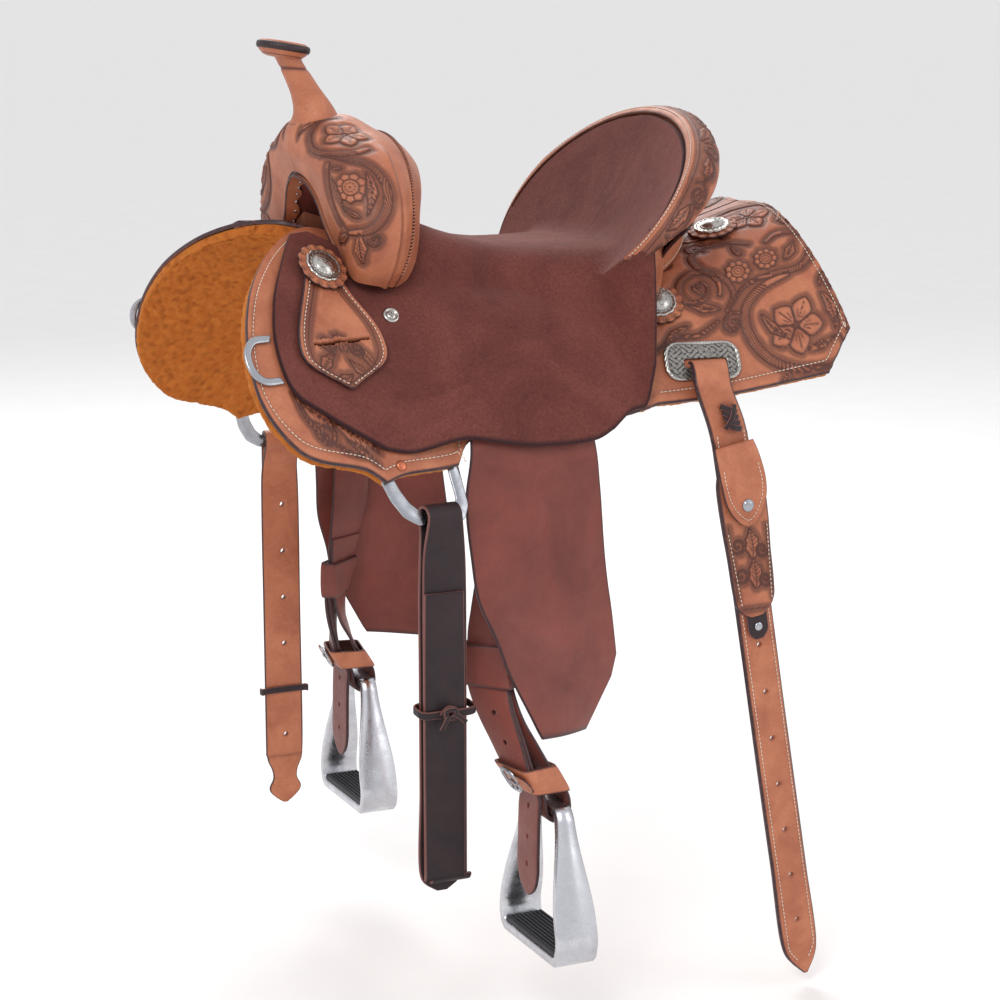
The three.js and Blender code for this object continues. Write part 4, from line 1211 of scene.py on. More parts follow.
RIM_RUN = [tuple(rim_point(np.radians(degrees), 0.985)[:2]) for degrees in (-125, -108, -90, -72, -54,
                                                                            -38, -22, -6, 0)]
SEAT_RUNS = [
    [(-262, -78), (-284, -114), (-304, -147), (-313, -176), (-306, -196), (-272, -205), (-217, -213)],
    [(-217, -213), (-172, -211), (-131, -212), (-58, -217), (8, -214), (29, -210)],
    [(29, -210), (49, -204), (81, -196)],
    [(81, -196), (88, -182), (91, -165), RIM_RUN[0]],
    RIM_RUN,
]


def build_seat():
    outer = trace([(points, 2.2) for points in SEAT_RUNS])
    x, y = draped_grid(SEAT_INNER, outer, 110)
    rough = on_face(seat_z, x, y)
    wave = 0.7 * value_noise(rough, 55.0, 2.0) + 0.25 * value_noise(rough, 14.0, 4.0)
    top = on_face(seat_z, x, y, wave)
    top[:, 0, 1] = np.where(abs(y[:, 0]) < 0.5, 0.0, top[:, 0, 1])
    under = on_face(seat_z, x, y, -LEATHER)
    centre = y[:, 0] > -0.5

    def spine(i):
        return centre[i]

    near, far = (sheet(top, under, 0.0, "lip", open_row=spine) for _ in range(2))
    far.points = [p * [1, -1, 1] for p in far.points]
    far.faces = [f[:, ::-1] for f in far.faces]
    piece(near.join(far), "seat_leather_cover", ROUGHOUT, node="seat_leather", weld=0.08)


ROLL_SECTION = [(1, 1.5), (6, 7), (18, 9), (30, 4.5), (36, -6), (32, -18), (18, -20)]


def outward_at(angle):
    nx = np.maximum(np.cos(angle) / RIM["along"], 0.0045)
    return unit(np.stack([nx, np.sin(angle) / RIM["across"], 0 * angle], axis=-1))


def roll_pattern(length):
    """Leaf and scroll border on the roll, on (section mm, rim mm) axes."""
    tool = Tooling()
    for side in (1, -1):
        part = Tooling()
        for k, v in enumerate(range(16, int(length / 2) - 30, 58)):
            part_turn = 90 if k % 2 else 70
            scroll(part, 31, v + 10, 13, 4, 230, 1.2, 4)
            leaf(part, 27, v + 22, part_turn, 34, 14, 3, 24)
            stem(part, [(38, v), (30, v + 18), (38, v + 36), (31, v + 52)], 6)
        tool.add(part, [1, side])
    tool.stroke([(17, -length / 2), (17, length / 2)], 0.9, 0.5)
    return tool


def build_roll():
    angle = np.linspace(-RIM["end"], RIM["end"], 480)
    size = 1 - 0.62 * smooth(1.1, RIM["end"], abs(angle))
    out = outward_at(angle)
    rim = rim_point(angle)
    tail_points = [(7, -19), (7, -1)]
    loop = closed_loop(ROLL_SECTION + tail_points, 96)
    first = int(np.argmin(np.hypot(loop[:, 0] - 1, loop[:, 1] - 1.5)))
    loop = np.roll(loop, -first, axis=0)
    points = np.zeros((len(angle), len(loop), 3))
    for k, (a, b) in enumerate(loop):
        points[:, k] = rim + out * (a * size + 0.6)[:, None]
        points[:, k, 2] += b * size
    gap = np.linalg.norm(np.diff(points, axis=1), axis=2)
    across = np.concatenate([np.zeros((len(angle), 1)), np.cumsum(gap, axis=1)], axis=1)
    along = np.concatenate([[0], np.cumsum(np.linalg.norm(np.diff(rim, axis=0), axis=1))])
    along -= along[-1] / 2
    u, v = across, along[:, None] + 0 * across
    seam = np.exp(-((u - 7.5) / 1.1) ** 2)
    height, dark = roll_pattern(2 * along[-1]).sample(u, v)
    inside = (u > 12) & (u < 62)
    height, dark = np.where(inside, height, 0.0), np.where(inside, dark, 0.0)
    height -= 0.45 * seam
    normals = grid_normals(points)
    middle = points.mean(axis=1, keepdims=True)
    flip = np.sum(normals * (points - middle), axis=2, keepdims=True) < 0
    normals = np.where(flip, -normals, normals)
    rolled = points + normals * height[..., None]
    shape = Shape()
    edge = np.exp(-(u / 2.0) ** 2)
    shape.tube(shape.add(rolled, np.maximum(dark, 0.2 * seam), edge), 1.0)
    piece(shape, "cantle_roll_leather", TAN, node="cantle_roll")
    nearest = np.argmin(abs(u - 7.5), axis=1)
    rows = np.arange(len(angle))
    path = points[rows, nearest] + normals[rows, nearest] * 0.1
    seam_normals = normals[rows, nearest][4:-4]
    piece(stitches(path[4:-4], seam_normals, 3.0, 0.55, 4.2), "cantle_roll_stitching", THREAD)


def back_pattern():
    tool = Tooling()
    for side in (1, -1):
        part = Tooling()
        flower(part, 0, 44, 20, 90)
        scroll(part, 44, 46, 24, 8, 180, -1.3, 5)
        leaf(part, 66, 40, 10, 42, 17, 3, -20)
        stem(part, [(20, 66), (48, 76), (80, 66), (112, 52)], 8)
        leaf(part, 24, 24, 20, 30, 13, 2, 20)
        tool.add(part, [side, 1])
    return tool


def build_cantle_back():
    angle = np.linspace(-1.5, 1.5, 300)[:, None]
    t = np.linspace(0, 1, 70)[None, :]
    top = rim_point(angle[:, 0]) + outward_at(angle[:, 0]) * 27
    top[:, 2] -= 18.0
    foot_x = 117 + 84 * np.cos(angle[:, 0])
    foot_y = 104 * np.sin(angle[:, 0])
    foot = np.stack([foot_x, foot_y, skirt_z(foot_x, foot_y) + 1.2], axis=-1)
    points = lerp(top[:, None, :], foot[:, None, :], t[..., None])
    out = grid_normals(points)
    if out[150, 35, 0] < 0:
        out = -out
    points = points - out * (3.5 * np.sin(math.pi * t))[..., None]
    along = np.cumsum(np.linalg.norm(np.diff(points[:, 35], axis=0, prepend=points[:1, 35]), axis=1))
    along -= along[-1] / 2
    drop = np.cumsum(np.linalg.norm(np.diff(points, axis=1, prepend=points[:, :1]), axis=2), axis=1)
    height, dark = back_pattern().sample(along[:, None] + 0 * drop, drop)
    fall = drop[:, -1:]
    line = np.exp(-((fall - drop - 9) / 1.1) ** 2)
    fade = smooth(6, 14, drop) * smooth(10, 18, fall - drop)
    height = height * fade - 0.4 * line
    dark = np.maximum(dark * fade, 0.25 * line)
    panel = sheet(points + out * height[..., None], points - out * 3.6, dark)
    piece(panel, "cantle_back_leather", TAN, node="cantle_back")
    column = [int(np.argmin(abs(f - 9))) for f in (fall - drop)]
    rows = np.arange(len(points))
    seam = stitches(points[rows, column] + out[rows, column] * 0.1, out[rows, column])
    piece(seam, "cantle_back_stitching", THREAD)


def build_cantle_sides():
    """Leather over the side of the ground seat, from under the dish down to the skirt."""
    angle = -np.linspace(1.05, 2.3, 60)
    upper = rim_point(angle, 0.93)
    upper[:, 2] = dish_z(upper[:, 0], upper[:, 1]) - 5.0
    lower = rim_point(angle, 0.8)
    lower[:, 2] = skirt_z(lower[:, 0], lower[:, 1]) + 0.6
    points = lerp(upper[:, None], lower[:, None], np.linspace(0, 1, 30)[None, :, None])
    out = grid_normals(points)
    if out[30, 15, 1] > 0:
        out = -out
    points = points + out * (0.5 * value_noise(points, 30.0, 8.0))[..., None]
    pair(sheet(points, points - out * 3.0), "cantle_side_leather", TAN)


# ---------------------------------------------------------------- conchos, screws, keepers
CONCHO_PROFILE = [(18.6, 0), (19.4, 0.8), (18.9, 1.8), (17.6, 2.3), (15.6, 1.9), (13.4, 2.2),
                  (12.1, 2.9), (11.2, 3.1),
                  (9.8, 4.2), (7.4, 5.6), (4.4, 6.6), (1.2, 6.9)]


def concho_ripple(radius, height, angle):
    """Scalloped rim, beaded step and a flower engraved on the dome."""
    rim = smooth(14.5, 18.5, radius)
    scallops = abs(np.sin(6 * angle))
    radius = radius * (1 - 0.055 * rim * (1 - scallops) ** 1.5)
    beads = np.exp(-((radius - 11.8) / 0.6) ** 2)
    height = height + 0.28 * beads * np.sin(22 * angle)
    height = height - 0.3 * concho_dark(radius, angle)
    return radius, height


def concho_dark(radius, angle):
    band = np.exp(-((radius - 15.4) / 1.5) ** 2) * (0.5 + 0.5 * np.sin(18 * angle + 0.9 * radius))
    petals = np.exp(-((radius - 7.5 * abs(np.cos(2.5 * angle)) - 0.8) / 0.55) ** 2) * (radius < 9)
    groove = np.exp(-((radius - 12.9) / 0.45) ** 2)
    return np.clip(0.8 * band + 0.75 * petals + 0.8 * groove, 0, 1)


def rosette_shape():
    """Scalloped leather rosette with a punched hole in each scallop. Each hole is a shallow dip painted
    dark as painted shade.
    """
    turn = np.linspace(0, 2 * math.pi, 224, endpoint=False)[None, :]
    lobes = 14
    r = np.linspace(2, 27, 44)[:, None]
    rim = 1 - 0.07 * (1 - abs(np.sin(turn * lobes / 2))) * smooth(18, 27, r)
    radius = r * rim
    hole_turn = (turn * lobes / (2 * math.pi) + 0.5) % 1 - 0.5
    off = np.hypot((hole_turn * 2 * math.pi / lobes) * 23.2, radius - 23.2)
    hole = np.exp(-(off / 1.25) ** 2)
    petal_ring = np.exp(-((off - 2.9) / 0.6) ** 2) * (radius < 26)
    # painted shade: each hole is painted dark; the ring round it is a darkened tooled line
    dark = np.clip(hole + 0.6 * petal_ring, 0, 1)
    height = 3.0 - 1.5 * hole - 0.35 * petal_ring - 1.2 * smooth(26.0, 27.0, r) ** 2 + 0 * turn
    points = np.stack([radius * np.cos(turn), radius * np.sin(turn), height], axis=-1)
    shape = Shape()
    top = shape.add(points, dark, smooth(26.2, 27, r) + 0 * turn)
    shape.grid(top, wrap_cols=True)
    side = points[-1:] * [1, 1, 0]
    base = shape.add(side, 0.0, 1.0)
    shape.grid(np.vstack([top[-1:], base]), wrap_cols=True)
    shape.cap(top[0])
    shape.cap(base[0])
    return shape


def build_conchos():
    fine = curve(CONCHO_PROFILE, 0.45)
    spots = [("front", seat_z, -247, -113, 7.4), ("rear", skirt_z, 118, -130, 1.2),
             ("top", skirt_z, 221, -61, 1.2)]
    for name, face, x, y, lift in spots:
        m = frame_on(face, x, y, lift)
        pair(rosette_shape().moved(m), f"{name}_rosette_leather", TAN, node=f"{name}_rosette")
        m = frame_on(face, x, y, lift + 3.2)
        concho = turned(fine, m, 144, concho_ripple, concho_dark)
        pair(concho, f"{name}_concho_silver", SILVER, node=f"{name}_concho")


def build_screws():
    """Crosshead screw in a cup washer, holding the seat to the tree."""
    m = frame_on(seat_z, -180, -134, 0.2)
    cup = turned(curve([(8.6, 0), (8.4, 1.2), (7.2, 2.2), (6.0, 1.9), (5.2, 1.1), (2, 0.9)], 0.4), m, 48)
    head = curve([(4.9, 0.6), (4.7, 1.7), (3.4, 2.6), (1.4, 3.0)], 0.3)

    def cross(radius, angle):
        a, b = abs(radius * np.cos(angle)), abs(radius * np.sin(angle))
        return (np.minimum(a, b) < 0.6) * (np.maximum(a, b) < 3.1) * 1.0

    def sunk(radius, height, angle):
        return radius, height - 1.3 * cross(radius, angle)

    # painted shade: the cross recess is also painted fully dark, which the silver material turns nearly
    # black
    cup.join(turned(head, m, 72, sunk, cross))
    pair(cup, "seat_screw", SILVER)


KEEPER_FRONT = [(-257, -101), (-270, -130), (-291, -170), (-290, -180), (-247, -189)]
KEEPER_REAR = [(-237, -100), (-223, -125), (-200, -149), (-199, -163), (-242, -188)]
KEEPER_SLOT = {"at": (-244, -167, -96), "turn": 0.23, "half_length": 33.0, "half_width": 1.7}


def build_keepers():
    front = even(curve(KEEPER_FRONT, 0.5), count=110)
    rear = even(curve(KEEPER_REAR, 0.5), count=110)
    t = np.linspace(0, 1, 84)[None, :, None]
    plan = lerp(front[:, None, :2], rear[:, None, :2], t)
    x, y = plan[..., 0], plan[..., 1]
    fall = fall_length(y, -250)
    tool = Tooling()
    inner_front = even(front + unit(rear - front) * 9.5, 0.5)
    inner_rear = even(rear + unit(front - rear) * 9.5, 0.5)
    rim = np.vstack([inner_front[8:-3], inner_rear[-3:8:-1]])
    tool.stroke(np.column_stack([rim[:, 0], fall_length(rim[:, 1], -250)]), 0.8, 0.4)
    leaf(tool, -274, 258, -72, 34, 12, 2, 30)
    leaf(tool, -262, 262, -20, 26, 11, 2, -30)
    leaf(tool, -214, 238, -110, 34, 12, 2, -30)
    leaf(tool, -222, 246, 200, 26, 11, 2, 30)
    leaf(tool, -248, 287, -170, 20, 8, 2)
    leaf(tool, -246, 287, -20, 20, 8, 2)
    rosette(tool, -247, 216, 9)
    scroll(tool, -262, 222, 8, 3, 0, 1.2, 3)
    scroll(tool, -231, 218, 8, 3, 180, -1.2, 3)
    height, dark = tool.sample(x, fall)
    top = on_face(seat_z, x, y, 6.2 + height)
    under = on_face(seat_z, x, y, 2.2)
    slot_box = Shape()
    c, s = math.cos(KEEPER_SLOT["turn"]), math.sin(KEEPER_SLOT["turn"])
    a, b = KEEPER_SLOT["half_length"], KEEPER_SLOT["half_width"]
    loop = polygon([(-a, -b), (a, -b), (a, b), (-a, b)], 60)
    index = slot_box.add(np.stack([np.column_stack([loop, np.full(60, h)]) for h in (0, 60)]), 0.0, 1.0)
    slot_box.tube(index)
    slot_box.moved(frame_of((c, s, 0), (-s, c, 0), (0, 0, 1), KEEPER_SLOT["at"]))
    pair(sheet(top, under, dark), "keeper_leather", TAN, "keeper_", "latigo_keeper", slot_box)
    seam = Shape()
    for edge, other in ((front, rear), (rear[::-1], front[::-1])):
        trim = slice(6, -4) if edge is front else slice(4, -6)
        x, y = even((edge + unit(other - edge) * 4.5)[trim], 1.0).T
        seam.join(stitches(on_face(seat_z, x, y, 6.3), normal_of(seat_z, x, y), 3.0, 0.5))
    pair(seam, "keeper_stitching", THREAD, "keeper_")


# ---------------------------------------------------------------- rigging, dees, flank plate
RIG = frame_on(skirt_z, -182, -203, -10)
FLANK = frame_on(skirt_z, 145, -177, 1)


def build_hardware():
    outer = [(-46, 26), (44, 26), (45, -10), (45, -60), (37, -74), (-13, -74), (-28, -64), (-38, -46),
             (-44, -24), (-46, -4)]
    hole = [(-29, -10), (32, -10), (33, -52), (29, -59), (-10, -59), (-19, -50), (-26, -36), (-30, -22)]
    loops = matched_loops(outer, hole, 240, 5)
    pair(ring_plate(*loops, 3.2, RIG, 1.2), "rigging_plate_steel", STEEL, node="rigging_plate")

    dee = frame_on(skirt_z, -325, -180, 1.0)
    centre = [(8, 21.5), (-10, 20.5), (-18.5, 12), (-21, 0), (-18.5, -12), (-10, -20.5), (8, -21.5)]
    rows = []
    for a, b in curve(centre, 2.0):
        radial = dee[:3, :3] @ unit(np.array([a + 2, b, 0.0]))
        rows.append(station(placed(dee, np.array([a, b, 1.6])), radial, 7.6, 3.0))
    pair(strap(rows, 1.2), "breast_dee_steel", STEEL, node="breast_dee")

    rivet = curve([(5.2, 0), (5.3, 0.7), (4.3, 1.7), (2.4, 2.2), (0.8, 2.3)], 0.3)
    m = frame_on(skirt_z, -203, -213, 0.3)
    pair(turned(rivet, m, 40), "rigging_rivet_copper", COPPER, node="rigging_rivet")
    build_flank_plate()


def matched_loops(outer, hole, count, rounding):
    """Two closed loops whose points face each other across the plate."""
    a = polygon(outer, count, rounding)
    b = polygon(hole, count, rounding)
    centre = b.mean(axis=0)

    def by_angle(loop):
        turn = np.arctan2(loop[:, 1] - centre[1], loop[:, 0] - centre[0])
        order = np.argsort(turn)
        goal = np.linspace(-math.pi, math.pi, count, endpoint=False)
        wrapped = np.concatenate([turn[order] - 2 * math.pi, turn[order], turn[order] + 2 * math.pi])
        tripled = np.tile(loop[order], (3, 1))
        return np.stack([np.interp(goal, wrapped, tripled[:, k]) for k in range(2)], axis=1)

    return by_angle(a), by_angle(b)


def stadium(half_width, half_height, dx=0.0, dy=0.0, corner=15.0):
    points = []
    for q in range(4):
        cx = (1 if q in (0, 3) else -1) * (half_width - corner)
        cy = (1 if q < 2 else -1) * (half_height - corner)
        for k in range(7):
            a = (q + k / 6) * math.pi / 2
            points.append((cx + corner * math.cos(a) + dx, cy + corner * math.sin(a) + dy))
    return points


def build_flank_plate():
    """Engraved oval plate with a rope edge and the slot the billet hangs through."""
    outer, inner = matched_loops(stadium(41, 21), stadium(23.5, 4.8, dx=3, dy=-2.5, corner=3.0), 360, 1)
    shares = np.concatenate([[0, 0], np.linspace(0.0, 1, 40), [1, 1]])
    heights = np.concatenate([[0, 1.6], np.full(40, 2.6), [1.8, 0]])
    rings, dark = [], []
    rope = np.arange(360) * 2 * math.pi / 360 * 46
    for share, height in zip(shares, heights):
        loop = lerp(outer, inner, share)
        depth = np.linalg.norm(loop - outer, axis=1)
        rise = 0.5 * np.exp(-((depth - 2.2) / 1.3) ** 2) * (1 + 0.8 * np.sin(rope + depth * 2.2))
        x, y = loop.T
        vine = np.sin(x * 0.5 + 1.8 * np.sin(y * 0.45)) * np.sin(y * 0.55 + 1.6 * np.sin(x * 0.38))
        field = smooth(4.0, 5.2, depth) * (height > 2.5)
        cut_line = np.clip(1 - abs(vine) / 0.28, 0, 1) * field
        groove = np.exp(-((depth - 4.2) / 0.5) ** 2) * (height > 2.5)
        bevel = 0.5 * np.exp(-(depth / 0.7) ** 2) + 0.5 * (share > 0.97)
        z = height + (rise - 0.3 * cut_line - 0.25 * groove - bevel) * (height > 2.5)
        rings.append(np.column_stack([loop, z]))
        between_strands = (height > 2.5) * (np.sin(rope + depth * 2.2) < -0.5) * (depth < 4)
        shade = 0.9 * cut_line + 0.9 * groove + 0.42 * field + 0.4 * between_strands
        dark.append(np.clip(shade, 0, 1))
    shape = Shape()
    index = shape.add(np.array(rings), np.array(dark))
    shape.grid(index, wrap_rows=True, wrap_cols=True)
    pair(shape.moved(FLANK), "flank_plate_silver", SILVER, node="flank_plate")


# ---------------------------------------------------------------- flank billets, sheath
LEAN = np.array([math.cos(0.175), 0, math.sin(0.175)])
FORE_AFT = np.array([1.0, 0, 0])


def on_billet(z, out, shift=0.0):
    """Point on the hanging flank billet, `out` mm off its middle, `shift` mm rearwards."""
    share = (-170 - z) / 575
    return np.array([161 + 101 * share, -206.0 - out, z]) + LEAN * shift


BILLET_RUN = [(161, -170, 42), (178, -260, 42), (200, -390, 42), (222, -520, 42), (243, -640, 42),
              (262, -745, 41),
              (266, -760, 29), (269.5, -775, 6)]
OFF_BILLET_RUN = [(161, -170, 42), (178, -260, 42), (200, -390, 41), (205, -412, 29), (208.5, -430, 6)]


def facing_out(path):
    """Normals of a path on the outer face of a hanging strap."""
    return np.tile([0.0, -1.0, 0], (len(path), 1))


def build_flank_billets():
    """Long near billet and short off billet, hung through the slots of the flank plates."""
    build_flank_billet("near", BILLET_RUN, -758)
    build_flank_billet("off", OFF_BILLET_RUN, -414)
    build_billet_lace()
    build_sheath()


def build_flank_billet(side, run, low):
    body = f"flank_billet_{side}"
    top = [(-2.5, 3.0, 2.4), (-2.5, 5.6, 3.4), (-6, 9.2, 5.4), (-14, 11.2, 6.6), (-32, 11, 7)]
    rows = [station(placed(FLANK, np.array([3, b, c])), FORE_AFT, 42, t) for b, c, t in top]
    rows += [station((x, -204 if z > -200 else -206, z), LEAN, width, 7) for x, z, width in run]
    first_hole = -400 if side == "near" else -250
    holes = [[on_billet(z, 12), on_billet(z, -12)] for z in range(first_hole, low + 20, -52)]
    leather_strap = strap(rows, 4.0, 0.4, 8)
    piece(leather_strap, f"flank_billet_leather_{side}", TAN, body, body, side, cut=cylinders(holes, 3.2))
    seam, ply = Shape(), Shape()
    for edge in (-1, 1):
        levels = np.linspace(-172, low, int((-172 - low) / 3.6))
        width = 15.6 - 11 * smooth(low + 17, low - 6, levels)
        path = np.array([on_billet(z, 3.9, edge * w) for z, w in zip(levels, width)])
        seam.join(stitches(path, facing_out(path), 3.2, 0.5))
        levels = np.linspace(-176, low + 24, 60)
        line = [station(on_billet(z, 0.0, edge * 21.0), (0, 1, 0), 0.9, 0.7) for z in levels]
        ply.join(strap(line, 12, sides=2))
    piece(seam, f"flank_billet_stitching_{side}", THREAD, body, side=side)
    piece(ply, f"flank_billet_ply_line_{side}", HORN_BAND, body, side=side)


def build_billet_lace():
    """Dark plaited lace knot that ties each billet below its plate."""
    z = -152
    shape = Shape()
    for k in range(4):
        top = on_billet(z + 9 - 6 * k, 4.6, -8 + 1.5 * k)
        low = on_billet(z - 1 - 6 * k, 4.6, 9 + 1.0 * k)
        mid = on_billet(z + 4 - 6 * k, 8.0, 1)
        shape.join(lace([top, mid, low], 6.4, 2.0))
    shape.join(lace([on_billet(z - 14, 7.0, -7), on_billet(z - 4, 9.4, 1), on_billet(z + 8, 6.6, 7)],
                    6.0, 2.0))
    pair(shape, "flank_billet_lace", LATIGO, "flank_billet_")


def build_sheath():
    rows = [(-208, 46, 6), (-222, 54, 7), (-240, 56, 8), (-270, 55, 8), (-300, 52, 7), (-335, 50, 6),
            (-352, 46, 5), (-362, 32, 4.4), (-367, 16, 4)]
    stations = [station(on_billet(z, 4.2 + t / 2), LEAN, w, t) for z, w, t in rows]

    body = strap(stations, 1.3, 1.2, 44)
    points = body.points[0]
    u = points @ LEAN - np.array([on_billet(z, 0) @ LEAN for z in points[:, 2]])
    tool = Tooling()
    for v in (-338, -306):
        leaf(tool, 2, v, 80, 34, 20, 3, 20)
        scroll(tool, -13, v + 16, 9, 3, 200, 1.2, 3)
        scroll(tool, 14, v + 10, 8, 3, 0, -1.2, 3)
    for line in ([(-21, -348), (-21.5, -270)], [(21, -348), (21.5, -270)], [(-16, -359), (16, -359)]):
        tool.stroke(line, 0.8, 0.5)
    outward = points[:, 1] < -206 - 4.2 - 3.0
    height, dark = tool.sample(np.where(outward, u, 1e4)[:, None], points[:, 2][:, None])
    body.points[0] = points + np.array([0, -1.0, 0]) * height
    body.dark[0] = dark[:, 0]
    piece(body, "sheath_leather", TAN, "flank_billet_near", "sheath")

    seam = Shape()
    for side in (-1, 1):
        rows = zip(np.linspace(-272, -352, 24), np.linspace(23.0, 18.0, 24))
        path = np.array([on_billet(z, 12.4 - 0.012 * (-z - 240), side * w) for z, w in rows])
        seam.join(stitches(path, facing_out(path), 3.0, 0.45))
    piece(seam, "sheath_stitching", THREAD, "flank_billet_near")

    tab_run = [(-360, 24), (-372, 25), (-386, 22), (-392, 10)]
    tab = strap([station(on_billet(z, 4.9), LEAN, w, 2.6) for z, w in tab_run], 2.0, 0.2, 6)
    piece(tab, "sheath_tab", LATIGO, "flank_billet_near")
    screw = curve([(4.6, 0), (4.5, 1.0), (3.2, 1.9), (1.0, 2.2)], 0.3)
    screw_frame = outward_frame(on_billet(-379, 6.2))
    piece(turned(screw, screw_frame, 36), "sheath_tab_screw", STEEL, "flank_billet_near")

    flap_rows = [(-184, 46, 4.2), (-194, 49, 8.0), (-206, 51, 11.4), (-222, 52, 14.5), (-240, 48, 15.4),
                 (-254, 36, 15.1), (-264, 20, 14.8), (-268, 8, 14.8)]
    flap = strap([station(on_billet(z, out + 2.6), LEAN, w, 3) for z, w, out in flap_rows], 2.4, 0.3, 10)
    piece(flap, "sheath_flap_leather", TAN, "sheath_flap", "sheath_flap")
    half = [(-206, 11.6, 20), (-224, 14.6, 20.5), (-242, 15.5, 17), (-256, 15.1, 8)]
    run = [(z, out, -s) for z, out, s in half] + [(-262, 14.9, 0)] + half[::-1]
    line = curve([on_billet(z, out + 4.4, s) for z, out, s in run], 1.0)
    seam = stitches(line, facing_out(line), 2.8, 0.45, 4.0)
    piece(seam, "sheath_flap_stitching", THREAD, "sheath_flap")
    dome = curve([(6.4, 0), (6.6, 0.8), (6.0, 1.8), (5.2, 1.7), (4.6, 2.3), (2.6, 2.9), (0.6, 3.0)], 0.3)
    snap_frame = outward_frame(on_billet(-246, 19.2))
    piece(turned(dome, snap_frame, 48), "sheath_snap", STEEL, "sheath_flap")


def outward_frame(at):
    return frame_of((1, 0, 0), (0, 0, 1), (0, -1, 0), at)


# ---------------------------------------------------------------- latigo and off billet
def ring_loop(radius=10.4):
    rows = []
    for i in range(12):
        turn = -0.35 + i * (math.pi + 0.7) / 11
        at = placed(RIG, np.array([11, -66.5 + radius * math.sin(turn), 1.5 + radius * math.cos(turn)]))
        rows.append(station(at, RIG[:3, 0], 38))
    return rows


def hanging(x, y, levels):
    return [station((x, y, z), FORE_AFT, width) for z, width in levels]


def build_latigo():
    loop = ring_loop()
    front_x, back_x = loop[0][0], loop[-1][0]
    front = [(-262, 44), (-300, 46), (-400, 46), (-500, 46), (-592, 46)]
    rows = hanging(front_x, -231.5, front)[::-1] + loop
    back = [(-262, 44), (-300, 46), (-400, 46), (-500, 46), (-588, 46), (-597, 36), (-605, 12)]
    rows += hanging(back_x, -226.6, back)
    holes = [[(front_x + 3, -240, z), (front_x + 3, -222, z)] for z in (-510, -562)]
    piece(strap(rows, 3.0, 0.3, 8), "latigo_leather", LATIGO, "latigo", "latigo", cut=cylinders(holes))
    folds = Shape()
    for y, shift, low in ((-222.6, 4.5, -586), (-235.9, -2.5, -590)):
        levels = [(-300, 42), (-400, 44), (-500, 44), (low, 43)]
        folds.join(strap(hanging(front_x + shift, y, levels), 8, 0.2, 6))
    turn_radius = 6.4
    edge_turn = []
    for a in np.linspace(0, math.pi, 9):
        y, z = -229.2 + turn_radius * math.cos(a), -588 - turn_radius * math.sin(a)
        edge_turn.append(station((front_x + 4.5, y, z), FORE_AFT, 43))
    folds.join(strap(edge_turn, 2.0, 0.0, 6))
    piece(folds, "latigo_folds", LATIGO, "latigo")
    piece(tie_knot((front_x, -231.0, -418), 29.5, 9.8), "latigo_tie", LATIGO, "latigo")


def rounded_box(turn, half_width, half_depth, power):
    """Width and depth of the points round a box with rounded corners."""
    c, s = np.cos(turn), np.sin(turn)
    return np.sign(c) * abs(c) ** power * half_width, np.sign(s) * abs(s) ** power * half_depth


# The knot and its two ends as (rows of [sideways, towards the front, up], lace width, lace thickness)
KNOT_LACES = [
    ([(-9, 0, -3), (-3, 3.5, 5), (5, 4.5, 2), (4, 3, -5), (-4, 2.6, -4), (-5, 5, 3), (3, 6.4, 4)], 5.4,
     2.4),
    ([(-2, 3, -2), (-6, 4.2, -9), (-10, 3.4, -17)], 5.2, 2.0),
    ([(2, 4, 0), (8, 4.4, -4), (16, 3.4, -11)], 5.2, 2.0),
]


def tie_knot(middle, half_width, half_depth):
    """Lace wrapped once round a folded strap and knotted in front, with two short ends."""
    turn = np.linspace(0, 2 * math.pi, 33)
    wide, deep = rounded_box(turn, half_width, half_depth, 0.28)
    wrap = np.column_stack([wide, deep, 2.5 * np.sin(turn)]) + middle
    shape = strap([station(at, (0, 0, 1), 8.0, 2.4) for at in wrap], 1.6, sides=3)
    front = np.array(middle) - [0, half_depth + 2.4, 0]
    for rows, width, thick in KNOT_LACES:
        shape.join(lace(front + np.array(rows) * [1, -1, 1], width, thick))
    return shape


def build_off_billet():
    loop = ring_loop()
    front_x, back_x = loop[0][0], loop[-1][0]
    levels = [(-262, 42), (-300, 44), (-420, 44), (-586, 44), (-602, 41), (-614, 31), (-624, 29),
              (-634, 38), (-640, 36), (-648, 20), (-653, 6)]
    rows = hanging(front_x, -231.5, levels)[::-1] + loop
    rows += hanging(back_x, -226.6, [(-262, 42), (-300, 44), (-420, 44), (-594, 44)])
    holes = [[(front_x, -242, z), (front_x, -221, z)] for z in range(-300, -600, -54)]
    leather_strap = strap(rows, 2.6, 0.3, 8)
    piece(leather_strap, "off_billet_leather", TAN, "off_billet", "off_billet", "off",
          cut=cylinders(holes))
    piece(tie_knot((front_x, -229.4, -518), 27, 6.6), "off_billet_tie", LATIGO, "off_billet", side="off")


# ---------------------------------------------------------------- fenders
FENDER_ROWS = [
    [(-112, -150), (-4, -150)], [(-120, -176), (4, -176)],
    [(-126, -207, -172), (9, -205, -172)], [(-132, -209, -217), (15, -205, -217)],
    [(-129, -215, -276), (20, -204, -270)],
    [(-125, -222, -316), (25, -203, -310)], [(-111, -234, -355), (31, -203, -350)],
    [(-101, -242, -388), (36, -203, -392)],
    [(-84, -239, -417), (33, -203, -410)], [(-62, -236, -461), (0, -208, -466)],
]


